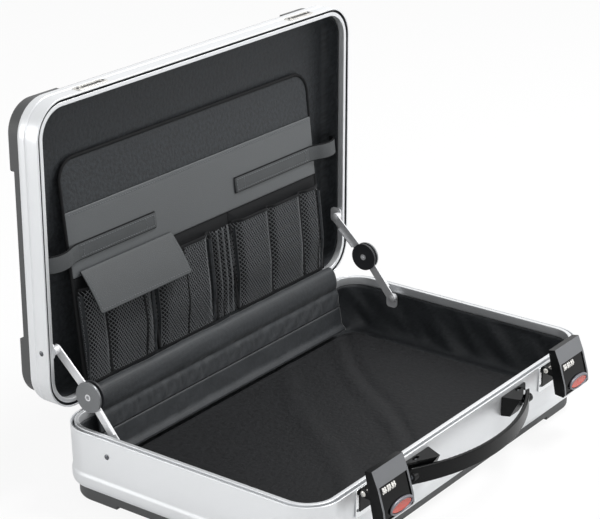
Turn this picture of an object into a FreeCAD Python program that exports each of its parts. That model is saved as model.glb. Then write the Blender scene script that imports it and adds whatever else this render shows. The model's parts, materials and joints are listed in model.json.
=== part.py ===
import FreeCAD, Part
import math
import os
from FreeCAD import Vector

# Aluminium laptop case with a hinged lid, modelled open with the lid upright.
# All lengths are millimetres. The model is built in the case frame: X to the right along
# the width, Y to the hinge side, Z up, the origin on the middle of the base with Z at the
# plane where the two rims meet. It is moved to the export frame at the end.

# Case envelope
CASE_WIDTH = 460.0
CASE_DEPTH = 290.0
CORNER_RADIUS = 33.5
BASE_WALL_HEIGHT = 57.0
LID_WALL_HEIGHT = 25.7
BASE_FIELD_DROP = 10.5
BASE_PAD_DROP = 15.0
LID_FIELD_DROP = 10.0
LID_PAD_DROP = 16.0
LINING_DROP = 1.5
HALF_W = CASE_WIDTH / 2
HALF_D = CASE_DEPTH / 2
RIM_HEIGHT = BASE_WALL_HEIGHT + BASE_PAD_DROP

# Rim extrusion
FRAME_WALL = 2.0
RIM_WALL = 1.6
RIM_GAP = 0.1
GROOVE_INSET = 3.9
GROOVE_DEPTH = 4.5
LIP_INSET = 7.8
LIP_FACE = 7.7
LIP_ROOT = 9.7
TONGUE_RISE = 0.7
TONGUE_GAP = 0.3
BASE_DRAFT = 0.5
BASE_BEAD_TOP = 41.5
BASE_BEAD_CREST = 45.0
BASE_TURN_START = 49.5
BASE_TURN_INSET = 5.0
BASE_TURN_INNER = 49.0
LID_CREASE_TOP = 13.4
LID_CREASE_SLOPE = 0.8
LID_CREASE_WIDTH = 0.6
LID_CREASE_DEPTH = 0.5
LID_TURN_START = 19.5
LID_TURN_INSET = 4.2

# Moulded shells
SHELL_WALL = 2.2
SHELL_LEDGE = 1.0
UPSTAND_GAP = 0.3
UPSTAND_WALL = 2.0
UPSTAND_HEIGHT = 1.5
PAD_LENGTH = 66.0
PAD_CORNER = 14.0
PAD_EDGE = 4.0
RIB_PITCH = 20.0
RIB_CHORD = 17.0
RIB_RISE = 1.0
RIB_END_GAP = 5.0
RIB_COUNT = 13

# Linings
SOFT_GAP = 0.3
LINING_INSET = 8.4
LINING_TOP_GAP = 0.5
LINING_FLOOR = 1.0
BASE_COVE_START = 44.0
BASE_COVE_INSET = 17.0
LID_COVE_START = 14.0
LID_COVE_INSET = 15.5
LINING_SHOULDER = 1.2
FLOOR_PAD_SIDE_GAP = 34.0
FLOOR_PAD_FRONT_GAP = 17.0
FLOOR_PAD_BACK_GAP = 25.0
FLOOR_PAD_HALF_WIDTH = HALF_W - FLOOR_PAD_SIDE_GAP
FLOOR_PAD_FRONT = HALF_D - FLOOR_PAD_FRONT_GAP
FLOOR_PAD_BACK = HALF_D - FLOOR_PAD_BACK_GAP
FLOOR_PAD_RADIUS = 16.0
FLOOR_PAD_EDGE = 7.0
FLOOR_PAD_SIDE = 4.2
FLOOR_PAD_SHOULDER = 1.7
FLOOR_PAD_CROWN = 1.6
FLOOR_PAD_ROLL = 6.0

# Hinge
HINGE_STANDOFF = 3.4
HINGE_KNUCKLE = 3.0
HINGE_BORE = 1.3
HINGE_PIN = 1.25
HINGE_END_INSET = 54.0
HINGE_LENGTH = CASE_WIDTH - 2 * HINGE_END_INSET
HINGE_SEGMENTS = 11
HINGE_END_GAP = 0.25
HINGE_LEAF = 1.0
HINGE_LEAF_WIDTH = 14.0
HINGE_SWEEP_GAP = 0.3
HINGE_PIN_HEAD = 1.5
HINGE_PIN_HEAD_RADIUS = 2.0
HINGE_Y = HALF_D + HINGE_STANDOFF

# Cloth over the hinge, its places measured forward from the hinge axis
COVER_END_INSET = 42.0
COVER_HALF_LENGTH = HALF_W - COVER_END_INSET
COVER_THICKNESS = 2.0
COVER_CREST_FRONT = 6.9
COVER_CREST_Y = HINGE_Y - COVER_CREST_FRONT
COVER_CREST_Z = 16.0
COVER_BULGE_FRONT = 13.6
COVER_BULGE_Y = HINGE_Y - COVER_BULGE_FRONT
COVER_BULGE_Z = 9.0
COVER_CREASE_FRONT = 15.9
COVER_CREASE_Y = HINGE_Y - COVER_CREASE_FRONT
COVER_CREASE_Z = -6.0
COVER_SEAM_FRONT = 19.4
COVER_SEAM_Y = HINGE_Y - COVER_SEAM_FRONT
COVER_SEAM_Z = -24.0
SKIRT_FOOT_FRONT = 23.9
SKIRT_FOOT_Y = HINGE_Y - SKIRT_FOOT_FRONT
SKIRT_FOOT_Z = -49.0
SKIRT_SEAM_GAP = 0.3

# Stays: places of the pivots, measured from the hinge axis with the lid upright
STAY_BASE_BACK = 68.0
STAY_BASE_DOWN = 12.0
STAY_LID_BACK = 4.5
STAY_LID_UP = 63.7
STAY_DISC_FRONT = 34.3
STAY_DISC_UP = 28.2
STAY_BASE_RIVET_BACK = 65.0
STAY_BASE_RIVET_DOWN = 16.4
STAY_LID_RIVET_BACK = 8.3
STAY_LID_RIVET_UP = 63.9
LID_OPEN_ANGLE = 90.0
STAY_SPLIT_INSET = 15.7
STAY_SPLIT = HALF_W - STAY_SPLIT_INSET
STAY_SPLIT_GAP = 0.3
STAY_ARM = 1.4
STAY_ARM_WIDTH = 9.0
STAY_FLANGE = 2.2
STAY_FLANGE_WALL = 1.0
STAY_FLANGE_START = 12.0
STAY_CAP = 2.3
STAY_CAP_RADIUS = 14.5
STAY_CAP_EDGE = 0.6
STAY_EYELET = 3.2
STAY_EYELET_BORE = 1.9
STAY_EYELET_PROUD = 0.3
STAY_FIT = 0.05
STAY_PIVOT = 2.0
STAY_RIVET_HEAD = 4.0
STAY_RIVET_RISE = 1.2
STAY_PLATE = 1.6
STAY_PLATE_WIDTH = 13.0
STAY_PLATE_LENGTH = 16.0
STAY_PLATE_RADIUS = 4.0
STAY_BOSS = 4.2
STAY_BOSS_GAP = 0.1

# Wall rivets
RIVET_HEAD = 2.6
RIVET_RISE = 0.9
RIVET_STEM = 1.5
RIVET_STEM_LENGTH = 1.4
RIVET_HOLE_GAP = 0.03

# Handle: the grip is an arch in plan, standing out of the front wall
LATCH_END_DISTANCE = 77.0
LATCH_OFFSET = HALF_W - LATCH_END_DISTANCE
HANDLE_LATCH_DISTANCE = 49.0
HANDLE_REACH = 36.0
HANDLE_HALF_SPAN = LATCH_OFFSET - HANDLE_LATCH_DISTANCE
HANDLE_END_REACH = 6.0
HANDLE_THICKNESS = 4.0
HANDLE_HEIGHT = 16.0
HANDLE_EDGE = 1.4
HANDLE_AXIS_OUT = 7.5
HANDLE_AXIS_DOWN = 17.0
HANDLE_BOSS = 4.4
HANDLE_WALL_GAP = 0.6
HANDLE_BOSS_FROM_END = 3.0
HANDLE_BOSS_LENGTH = 6.0
HANDLE_BOSS_OUTER = HANDLE_HALF_SPAN - HANDLE_BOSS_FROM_END
HANDLE_BOSS_INNER = HANDLE_BOSS_OUTER - HANDLE_BOSS_LENGTH
HANDLE_PIN = 2.0
HANDLE_PIN_GAP = 0.06
HANDLE_PIN_DEPTH = 16.0
HANDLE_DROP_ANGLE = 38.0
BRACKET_BOSS_GAP = 0.6
BRACKET_LENGTH = 31.9
BRACKET_OUTER = HANDLE_BOSS_INNER - BRACKET_BOSS_GAP
BRACKET_INNER = BRACKET_OUTER - BRACKET_LENGTH
BRACKET_DEPTH = 16.5
BRACKET_FOOT_DEPTH = 8.0
BRACKET_END_SLANT = 6.4
BRACKET_ARCH_GAP = 1.6
BRACKET_TOP = 5.0
BRACKET_TOP_FALL = 0.8
BRACKET_BOTTOM = 24.2
BRACKET_LEDGE = 2.0
BRACKET_LEDGE_SHORT = 0.5
BRACKET_LEDGE_OUTER = HANDLE_HALF_SPAN - BRACKET_LEDGE_SHORT
SLOT_LENGTH = 9.0
SLOT_WIDTH = 3.6
SLOT_DEPTH = 2.2
SLOT_FROM_INNER = 25.0
SLOT_OUT = 3.2
SCREW_RADIUS = 1.5
SCREW_RISE = 1.0

# Latches, measured out from the front wall and down from the rim
LATCH_PLATE = 1.2
LATCH_PLATE_HALF = 21.5
LATCH_PLATE_TOP = 0.6
LATCH_PLATE_BOTTOM = 27.0
LATCH_PLATE_RADIUS = 2.0
EAR_WEB = 0.8
EAR_WEB_BOTTOM = 22.0
EAR_INNER = 15.4
EAR_OUTER = 17.0
EAR_RADIUS = 3.0
EAR_FOOT = 7.5
LINK_AXIS_OUT = 5.8
LINK_AXIS_DOWN = 3.2
LINK_LENGTH = 14.2
LINK_OPEN_ANGLE = 5.0
LINK_CLOSED_ANGLE = 90.0
LINK_INNER = 17.2
LINK_OUTER = 18.8
LINK_RADIUS = 3.1
LINK_WEB = 1.4
LINK_WEB_OFFSET = 2.8
LINK_WEB_START = 12.7
LINK_WEB_END = 16.9
LINK_PIN = 1.6
LINK_PIN_GAP = 0.05
LINK_PIN_HEAD = 2.6
LINK_PIN_HEAD_RISE = 0.9
TRUNNION = 1.5
TRUNNION_END = 20.7
COVER_BACK_CLOSED = 1.5
COVER_TOP_CLOSED = 9.5
COVER_TILT = 12.0
LATCH_HALF = 23.0
LATCH_LENGTH = 47.5
LATCH_WALL = 1.5
LATCH_FRONT_WALL = 1.6
LATCH_TOP_DEPTH = 7.0
LATCH_SHOULDER_AT = 15.0
LATCH_SHOULDER_DEPTH = 10.0
LATCH_BELLY_AT = 36.0
LATCH_BELLY_DEPTH = 11.7
LATCH_TOE_AT = 45.0
LATCH_TOE_DEPTH = 11.0
LATCH_CHIN_DEPTH = 8.8
LATCH_HEEL_AT = 44.5
LATCH_FIELD_START = 15.0
LATCH_FIELD_END = 46.0
LATCH_FIELD_HALF = 20.6
LATCH_FIELD_DEPTH = 1.0
LATCH_BOSS = 3.0
LATCH_BOSS_INNER = 19.1
LATCH_CAVITY_END = 45.6
DIAL_AT = 20.5
DIAL_DEPTH = 5.6
DIAL_RADIUS = 4.6
DIAL_WIDTH = 5.2
DIAL_PITCH = 6.8
DIAL_FIRST = -13.4
DIAL_COUNT = 3
DIAL_SLOT_GAP = 0.3
DIAL_AXLE = 1.2
DIAL_AXLE_GAP = 0.06
DIAL_GRIPS = 10
DIAL_GRIP_RADIUS = 0.55
DIAL_CHEEK = 0.6
BUTTON_X = 4.5
BUTTON_AT = 40.5
BUTTON_HALF_LENGTH = 14.5
BUTTON_HALF_HEIGHT = 3.9
BUTTON_PROUD = 0.9
BUTTON_GAP = 0.25
BUTTON_SEAT_GAP = 1.0
BUTTON_FLANGE = 0.5
BUTTON_FLANGE_WALL = 1.2
HOOK_HALF = 12.0
HOOK_TOP = 1.7
HOOK_BOTTOM = 3.3
HOOK_REACH = 2.2
HOOK_FOOT_AT = 12.0
HOOK_FOOT_DEPTH = 6.2
HOOK_ROOT_DEPTH = 4.0
KEEPER_HALF = 19.0
KEEPER_LOW = 3.0
KEEPER_HIGH = 12.2
KEEPER_THICKNESS = 1.0
KEEPER_RADIUS = 1.5
KEEPER_SLOT_HALF = 13.0
KEEPER_SLOT_LOW = 5.0
KEEPER_SLOT_HIGH = 9.7
KEEPER_POCKET = 3.4
KEEPER_RIVET_X = 16.2
KEEPER_RIVET = 1.3
KEEPER_RIVET_RISE = 0.5
PLATE_RIVET_X = 19.3
PLATE_RIVET_DOWN = 20.0

# Organiser panel, in its own frame: up along the panel and out from its face
PANEL_SIDE_GAP = 44.0
PANEL_HALF_WIDTH = HALF_W - PANEL_SIDE_GAP
PANEL_END_GAP = 73.0
PANEL_HEIGHT = CASE_DEPTH - PANEL_END_GAP
PANEL_THICKNESS = 2.8
PANEL_RADIUS = 22.0
PANEL_FOOT_FRONT = 1.4
PANEL_FOOT_Y = HINGE_Y - PANEL_FOOT_FRONT
PANEL_FOOT_Z = 13.6
PIPING_RADIUS = 1.9
PIPING_START = 3.0
PIPING_GAP = 0.1
BAND_TOP_GAP = 49.0
BAND_WIDTH = 61.0
BAND_HIGH = PANEL_HEIGHT - BAND_TOP_GAP
BAND_LOW = BAND_HIGH - BAND_WIDTH
BAND_THICKNESS = 1.2
NET_OUT = 7.5
NET_THICKNESS = 1.0
NET_LOW = 5.0
NET_BAND_GAP = 10.0
NET_HIGH = BAND_LOW - NET_BAND_GAP
NET_HEM = 6.0
NET_COLUMNS = 7
NET_ROWS = 11
NET_STRAND_SHARE = 0.3
POCKET_END_GAP = 4.0
POCKET_LEFT_WIDTH = 96.0
POCKET_MIDDLE_WIDTH = 85.0
POCKET_SPACE = 4.0
POCKET_WIDE_SPACE = 36.0
POCKET_LEFT_FROM = -PANEL_HALF_WIDTH + POCKET_END_GAP
POCKET_LEFT_TO = POCKET_LEFT_FROM + POCKET_LEFT_WIDTH
POCKET_MIDDLE_FROM = POCKET_LEFT_TO + POCKET_SPACE
POCKET_MIDDLE_TO = POCKET_MIDDLE_FROM + POCKET_MIDDLE_WIDTH
POCKET_RIGHT_FROM = POCKET_MIDDLE_TO + POCKET_WIDE_SPACE
POCKET_RIGHT_TO = PANEL_HALF_WIDTH - POCKET_END_GAP
PLEAT_FOLDS = 3
PLEAT_WALL = 0.7
PLEAT_FOLD = 2.6
PLEAT_GAP = 0.5
HEM_THICKNESS = 0.8
HEM_GAP = 0.3
HEM_HEIGHT = 7.0
FLAP_END_GAP = 10.0
FLAP_WIDTH = 127.0
FLAP_FROM = -PANEL_HALF_WIDTH + FLAP_END_GAP
FLAP_TO = FLAP_FROM + FLAP_WIDTH
FLAP_BAND_LAP = 5.0
FLAP_AXIS_UP = BAND_LOW + FLAP_BAND_LAP
FLAP_LENGTH = 43.0
FLAP_THICKNESS = 1.8
FLAP_HEM_RADIUS = 1.3
FLAP_REST_ANGLE = 28.5
STRAP_HEIGHT = 14.5
STRAP_BAND_LAP = 15.5
STRAP_LOW = BAND_LOW + STRAP_BAND_LAP
STRAP_THICKNESS = 1.4
STRAP_LEFT_SEWN = 118.0
STRAP_RIGHT_SEWN = 134.0
STRAP_LEFT_END = PANEL_HALF_WIDTH - STRAP_LEFT_SEWN
STRAP_RIGHT_END = PANEL_HALF_WIDTH - STRAP_RIGHT_SEWN
STRAP_EDGE_GAP = 9.0
STRAP_BOW = 9.0
STRAP_WALL_OUT = 3.0
STRAP_WALL_IN = 4.0

# One overrun serves every cut, and one tolerance tells which edges lie in one place
OVERRUN = 5.0
SAME_PLACE = 0.01

AXIS_X = Vector(1, 0, 0)
AXIS_Z = Vector(0, 0, 1)
ORIGIN = Vector(0, 0, 0)

EXPORTS = {}


def box(x0, x1, y0, y1, z0, z1):
    """Rectangular block between two corners."""
    return Part.makeBox(x1 - x0, y1 - y0, z1 - z0, Vector(x0, y0, z0))


def rod_x(x0, x1, y, z, radius):
    """Round bar along X."""
    return Part.makeCylinder(radius, x1 - x0, Vector(x0, y, z), AXIS_X)


def dome_x(x, y, z, radius, rise, side):
    """Domed rivet head whose flat face lies at x and whose crown points to side."""
    sphere = (radius * radius + rise * rise) / (2 * rise)
    ball = Part.makeSphere(sphere, Vector(x - side * (sphere - rise), y, z))
    keep = Part.makeCylinder(radius + rise, rise + rise, Vector(x, y, z), Vector(side, 0, 0))
    return ball.common(keep)


def wire_of(points):
    """Closed wire through points; a pair (mid, end) in the list draws an arc through mid."""
    edges = []
    here = points[0]
    for step in list(points[1:]) + [points[0]]:
        if isinstance(step, tuple):
            mid, end = step
            edges.append(Part.Arc(here, mid, end).toShape())
            here = end
        else:
            if (step - here).Length > 0:
                edges.append(Part.LineSegment(here, step).toShape())
            here = step
    return Part.Wire(edges)


def yz_plate(points, x0, x1):
    """Outline in the YZ plane carried along X; an item ((y, z), (y, z)) is an arc."""
    lifted = []
    for item in points:
        if isinstance(item[0], tuple):
            (ym, zm), (ye, ze) = item
            lifted.append((Vector(x0, ym, zm), Vector(x0, ye, ze)))
        else:
            lifted.append(Vector(x0, item[0], item[1]))
    return Part.Face(wire_of(lifted)).extrude(Vector(x1 - x0, 0, 0))


def rounded_wire(half_x, half_y, radius, z, shift_y=0.0):
    """Rectangle with round corners, centred on X, at height z."""
    c = radius * (1 - math.sqrt(0.5))
    x0, x1 = -half_x, half_x
    y0, y1 = shift_y - half_y, shift_y + half_y
    points = [
        Vector(x0 + radius, y0, z),
        Vector(x1 - radius, y0, z),
        (Vector(x1 - c, y0 + c, z), Vector(x1, y0 + radius, z)),
        Vector(x1, y1 - radius, z),
        (Vector(x1 - c, y1 - c, z), Vector(x1 - radius, y1, z)),
        Vector(x0 + radius, y1, z),
        (Vector(x0 + c, y1 - c, z), Vector(x0, y1 - radius, z)),
        Vector(x0, y0 + radius, z),
        (Vector(x0 + c, y0 + c, z), Vector(x0 + radius, y0, z)),
    ]
    return wire_of(points)


def case_prism(inset, z0, z1):
    """Block with the case's plan outline moved in by inset."""
    wire = rounded_wire(HALF_W - inset, HALF_D - inset, CORNER_RADIUS - inset, z0)
    return Part.Face(wire).extrude(Vector(0, 0, z1 - z0))


def swept_ring(profile):
    """Profile of (inset, depth) points carried round the case outline, depth downwards."""
    straight_x = HALF_W - CORNER_RADIUS
    straight_y = HALF_D - CORNER_RADIUS

    def section(points, place):
        return Part.Face(wire_of([
            (place(*item[0]), place(*item[1])) if isinstance(item[0], tuple) else place(*item)
            for item in points
        ]))

    pieces = []
    for side in (-1, 1):
        along_x = section(profile, lambda n, d: Vector(-straight_x, side * (HALF_D - n), -d))
        pieces.append(along_x.extrude(Vector(straight_x + straight_x, 0, 0)))
        along_y = section(profile, lambda n, d: Vector(side * (HALF_W - n), -straight_y, -d))
        pieces.append(along_y.extrude(Vector(0, straight_y + straight_y, 0)))
        for other in (-1, 1):
            centre = Vector(side * straight_x, other * straight_y, 0)
            flat = section(profile, lambda n, d: centre + Vector(side * (CORNER_RADIUS - n), 0, -d))
            pieces.append(flat.revolve(centre, AXIS_Z, side * other * 90))
    ring = pieces[0].fuse(pieces[1:])
    return ring.removeSplitter()


def mirrored_up(shape):
    """The same shape above the rim plane instead of below it."""
    return shape.mirror(ORIGIN, AXIS_Z)


def opened(shape):
    """Move a lid piece from its closed place to the upright one."""
    turned = shape.copy()
    turned.rotate(Vector(0, HINGE_Y, 0), AXIS_X, -LID_OPEN_ANGLE)
    return turned


def to_export(shape):
    """Move a shape from the case frame to the export frame."""
    back = HINGE_Y + LID_WALL_HEIGHT + LID_PAD_DROP
    front = HALF_D + HANDLE_REACH
    placed = shape.copy()
    placed.translate(Vector(0, (front - back) / 2, RIM_HEIGHT))
    return placed


def export(name, shape):
    """Write one node."""
    moved = to_export(shape)
    solids = moved.Solids
    out = solids[0] if len(solids) == 1 else Part.makeCompound(solids)
    out.exportStep("parts/" + name + ".step")
    EXPORTS[name] = out
    print("node", name, "solids", len(solids), "valid", out.isValid(), "volume", round(out.Volume, 1))


def both_sides(shape):
    """A shape and its mirror image across the middle of the case."""
    return Part.makeCompound([shape, shape.mirror(ORIGIN, AXIS_X)])


# Frames


def base_profile():
    """Section of the base rim extrusion, as (inset, depth)."""
    bend = math.sqrt(0.5)
    drop = BASE_WALL_HEIGHT - BASE_TURN_START
    inner_drop = BASE_WALL_HEIGHT - BASE_TURN_INNER
    inner_in = BASE_TURN_INSET + FRAME_WALL
    return [
        (0.0, RIM_GAP),
        (BASE_DRAFT, BASE_BEAD_TOP),
        (0.0, BASE_BEAD_CREST),
        (0.0, BASE_TURN_START),
        ((BASE_TURN_INSET * (1 - bend), BASE_TURN_START + drop * bend),
         (BASE_TURN_INSET, BASE_WALL_HEIGHT)),
        (inner_in, BASE_WALL_HEIGHT),
        ((FRAME_WALL + (inner_in - FRAME_WALL) * (1 - bend), BASE_TURN_INNER + inner_drop * bend),
         (FRAME_WALL, BASE_TURN_INNER)),
        (FRAME_WALL, LIP_ROOT),
        (LIP_INSET, LIP_FACE),
        (LIP_INSET, -TONGUE_RISE),
        (GROOVE_INSET, -TONGUE_RISE),
        (GROOVE_INSET, GROOVE_DEPTH),
        (RIM_WALL, GROOVE_DEPTH),
        (RIM_WALL, RIM_GAP),
    ]


def lid_profile():
    """Section of the lid rim extrusion, as (inset, depth)."""
    bend = math.sqrt(0.5)
    drop = LID_WALL_HEIGHT - LID_TURN_START
    inner_in = LID_TURN_INSET + FRAME_WALL
    crease = LID_CREASE_TOP + LID_CREASE_SLOPE
    crease_end = crease + LID_CREASE_WIDTH
    return [
        (0.0, RIM_GAP),
        (0.0, LID_CREASE_TOP),
        (LID_CREASE_DEPTH, crease),
        (LID_CREASE_DEPTH, crease_end),
        (0.0, crease_end + LID_CREASE_SLOPE),
        (0.0, LID_TURN_START),
        ((LID_TURN_INSET * (1 - bend), LID_TURN_START + drop * bend),
         (LID_TURN_INSET, LID_WALL_HEIGHT)),
        (inner_in, LID_WALL_HEIGHT),
        ((FRAME_WALL + (inner_in - FRAME_WALL) * (1 - bend), LID_TURN_START + drop * bend),
         (FRAME_WALL, LID_TURN_START)),
        (FRAME_WALL, LIP_ROOT),
        (LIP_INSET, LIP_FACE),
        (LIP_INSET, TONGUE_RISE + TONGUE_GAP),
        (GROOVE_INSET, TONGUE_RISE + TONGUE_GAP),
        (GROOVE_INSET, GROOVE_DEPTH),
        (RIM_WALL, GROOVE_DEPTH),
        (RIM_WALL, RIM_GAP),
    ]


def stay_base_point():
    """Pivot of the lower arms in the base, as (y, z)."""
    return HINGE_Y - STAY_BASE_BACK, -STAY_BASE_DOWN


def stay_lid_point():
    """Pivot of the upper arms with the lid upright, as (y, z)."""
    return HINGE_Y + STAY_LID_BACK, STAY_LID_UP


def base_rivet_point():
    """Rivet of the lower bracket, as (y, z)."""
    return HINGE_Y - STAY_BASE_RIVET_BACK, -STAY_BASE_RIVET_DOWN


def lid_rivet_point():
    """Rivet of the upper bracket, as (y, z)."""
    return HINGE_Y + STAY_LID_RIVET_BACK, STAY_LID_RIVET_UP


def stay_disc_point():
    """Middle of the friction disc with the lid upright, as (y, z)."""
    return HINGE_Y - STAY_DISC_FRONT, STAY_DISC_UP


def stem_holes(y, z):
    """Holes for the wall rivets in both side walls."""
    radius = RIVET_STEM + RIVET_HOLE_GAP
    inner = HALF_W - RIVET_STEM_LENGTH - RIVET_HOLE_GAP
    return both_sides(rod_x(inner, HALF_W + OVERRUN, y, z, radius))


def base_frame():
    """Rim extrusion of the base."""
    return swept_ring(base_profile()).cut(stem_holes(*base_rivet_point()))


def keeper_pocket(centre):
    """Slot in the lid's front wall behind a keeper, with the lid shut."""
    return box(centre - KEEPER_SLOT_HALF, centre + KEEPER_SLOT_HALF,
               -HALF_D - OVERRUN, -HALF_D + KEEPER_POCKET, KEEPER_SLOT_LOW, KEEPER_SLOT_HIGH)


def lid_frame():
    """Rim extrusion of the lid."""
    shut = mirrored_up(swept_ring(lid_profile()))
    for side in (-1, 1):
        shut = shut.cut(keeper_pocket(side * LATCH_OFFSET))
    return opened(shut).cut(stem_holes(*lid_rivet_point()))


# Moulded shells with corner pads and a ribbed field


def pad_block(inset, depth0, depth1, shrink):
    """Corner pads between two depths below the rim, each moved in by shrink."""
    limit = PAD_LENGTH - shrink
    outline = case_prism(inset + shrink, -depth1, -depth0)
    corners = []
    for side in (-1, 1):
        for end in (-1, 1):
            x_edge = side * (HALF_W - limit)
            y_edge = end * (HALF_D - limit)
            x0, x1 = sorted((x_edge, side * (HALF_W + OVERRUN)))
            y0, y1 = sorted((y_edge, end * (HALF_D + OVERRUN)))
            block = box(x0, x1, y0, y1, -depth1, -depth0)
            inner = [
                e for e in block.Edges
                if abs(e.CenterOfMass.x - x_edge) + abs(e.CenterOfMass.y - y_edge) < SAME_PLACE
            ]
            block = block.makeFillet(PAD_CORNER - shrink, inner)
            corners.append(outline.common(block).Solids[0])
    return corners


def shell_ribs(field):
    """Shallow ribs across the field, on its outer face."""
    chord = RIB_CHORD / 2
    reach = HALF_W - BASE_TURN_INSET - SHELL_LEDGE - RIB_END_GAP
    short = HALF_W - PAD_LENGTH - RIB_END_GAP
    ribs = []
    for index in range(RIB_COUNT):
        y = (index - (RIB_COUNT - 1) / 2) * RIB_PITCH
        clear = abs(y) + chord < HALF_D - PAD_LENGTH
        half = reach if clear else short
        outline = [(y - chord, -field), ((y, -field - RIB_RISE), (y + chord, -field))]
        ribs.append(yz_plate(outline, -half, half))
    return ribs


def moulded_shell(wall, turn_inset, field_drop, pad_drop):
    """Shell below a rim extrusion of the given wall height, open side up."""
    edge_inset = turn_inset + SHELL_LEDGE
    field = wall + field_drop - RIB_RISE
    pad = wall + pad_drop
    up = turn_inset + FRAME_WALL + UPSTAND_GAP
    body = case_prism(edge_inset, -field, -wall)
    body = body.fuse(case_prism(up, -wall - OVERRUN / 2, -wall + UPSTAND_HEIGHT))
    body = body.fuse(shell_ribs(field))
    hollows = [case_prism(up + UPSTAND_WALL, -field + SHELL_WALL, -wall + UPSTAND_HEIGHT + OVERRUN)]
    for block in pad_block(edge_inset, field - PAD_EDGE, pad, 0.0):
        low = [e for e in block.Edges if e.CenterOfMass.z < -pad + SAME_PLACE]
        body = body.fuse(block.makeFillet(PAD_EDGE, low))
    hollows += pad_block(up + UPSTAND_WALL - SHELL_WALL, field - SHELL_WALL - OVERRUN,
                         pad - SHELL_WALL, SHELL_WALL)
    return body.cut(hollows).removeSplitter()


def base_shell():
    """Moulded bottom of the base."""
    return moulded_shell(BASE_WALL_HEIGHT, BASE_TURN_INSET, BASE_FIELD_DROP, BASE_PAD_DROP)


def lid_shell():
    """Moulded top of the lid."""
    shut = moulded_shell(LID_WALL_HEIGHT, LID_TURN_INSET, LID_FIELD_DROP, LID_PAD_DROP)
    return opened(mirrored_up(shut))


# Linings


def lining_tray(wall, turn_inset, turn_start, cove_start, cove_inset):
    """Padded lining: walls below the inner lip, a rounded foot and a floor."""
    bend = math.sqrt(0.5)
    outer = FRAME_WALL + SOFT_GAP
    low_outer = turn_inset + FRAME_WALL + UPSTAND_GAP + UPSTAND_WALL + SOFT_GAP
    under = wall + LINING_DROP
    floor = under - LINING_FLOOR
    shoulder = wall - UPSTAND_HEIGHT - SOFT_GAP
    top = LIP_FACE + LINING_TOP_GAP
    cove_x = cove_inset - LINING_INSET
    cove_z = floor - cove_start
    profile = [
        (LINING_INSET, top),
        (LINING_INSET, cove_start),
        ((LINING_INSET + cove_x * (1 - bend), cove_start + cove_z * bend), (cove_inset, floor)),
        (cove_inset, under),
        (low_outer, under),
        (low_outer, shoulder),
        (outer, turn_start - SOFT_GAP),
        (outer, LIP_ROOT + LINING_SHOULDER),
        (outer + LINING_SHOULDER, top + LINING_SHOULDER),
        (LINING_INSET - LINING_SHOULDER, top),
    ]
    walls = swept_ring(profile)
    plate = case_prism(cove_inset - LINING_SHOULDER, -under, -floor)
    return walls.fuse(plate).removeSplitter()


def base_lining_floor():
    """Depth of the upper face of the base lining's floor."""
    return BASE_WALL_HEIGHT + LINING_DROP - LINING_FLOOR


def base_lining():
    """Black fabric lining of the base."""
    return lining_tray(BASE_WALL_HEIGHT, BASE_TURN_INSET, BASE_TURN_INNER, BASE_COVE_START,
                       BASE_COVE_INSET)


def lid_lining():
    """Black fabric lining of the lid."""
    shut = lining_tray(LID_WALL_HEIGHT, LID_TURN_INSET, LID_TURN_START, LID_COVE_START,
                       LID_COVE_INSET)
    return opened(mirrored_up(shut))


def floor_pad():
    """Padded board on the floor of the base, with rolled edges and a low crown."""
    middle = (FLOOR_PAD_BACK - FLOOR_PAD_FRONT) / 2
    half_y = (FLOOR_PAD_BACK + FLOOR_PAD_FRONT) / 2
    low = -base_lining_floor() + SOFT_GAP
    levels = [
        (0.0, 0.0),
        (0.0, FLOOR_PAD_SIDE),
        (FLOOR_PAD_SHOULDER, FLOOR_PAD_EDGE - FLOOR_PAD_SHOULDER / 2),
        (FLOOR_PAD_ROLL, FLOOR_PAD_EDGE),
    ]
    wires = [
        rounded_wire(FLOOR_PAD_HALF_WIDTH - n, half_y - n, FLOOR_PAD_RADIUS - n, low + h, middle)
        for n, h in levels
    ]
    body = Part.makeLoft(wires, True, True)
    crown_in = FLOOR_PAD_ROLL + FLOOR_PAD_EDGE
    crown = Part.makeLoft([
        rounded_wire(FLOOR_PAD_HALF_WIDTH - FLOOR_PAD_ROLL, half_y - FLOOR_PAD_ROLL,
                     FLOOR_PAD_RADIUS - FLOOR_PAD_ROLL, low + FLOOR_PAD_EDGE, middle),
        rounded_wire(FLOOR_PAD_HALF_WIDTH - crown_in - FLOOR_PAD_RADIUS,
                     half_y - crown_in - FLOOR_PAD_RADIUS,
                     FLOOR_PAD_RADIUS - FLOOR_PAD_ROLL, low + FLOOR_PAD_EDGE + FLOOR_PAD_CROWN, middle),
    ], True, True)
    return body.fuse(crown).removeSplitter()


# Piano hinge and its cloth cover


def hinge_knuckles(first):
    """Knuckle barrels of one leaf, every second segment from first."""
    step = HINGE_LENGTH / HINGE_SEGMENTS
    barrels = []
    for index in range(first, HINGE_SEGMENTS, 2):
        x0 = -HINGE_LENGTH / 2 + index * step + HINGE_END_GAP / 2
        barrels.append(rod_x(x0, x0 + step - HINGE_END_GAP, HINGE_Y, 0.0, HINGE_KNUCKLE))
    return barrels


def hinge_sweeps(first):
    """Room for the other leaf's barrels."""
    step = HINGE_LENGTH / HINGE_SEGMENTS
    radius = HINGE_KNUCKLE + HINGE_SWEEP_GAP
    sweeps = []
    for index in range(1 - first, HINGE_SEGMENTS, 2):
        x0 = -HINGE_LENGTH / 2 + index * step - HINGE_END_GAP / 2
        sweeps.append(rod_x(x0, x0 + step + HINGE_END_GAP, HINGE_Y, 0.0, radius))
    return sweeps


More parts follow.
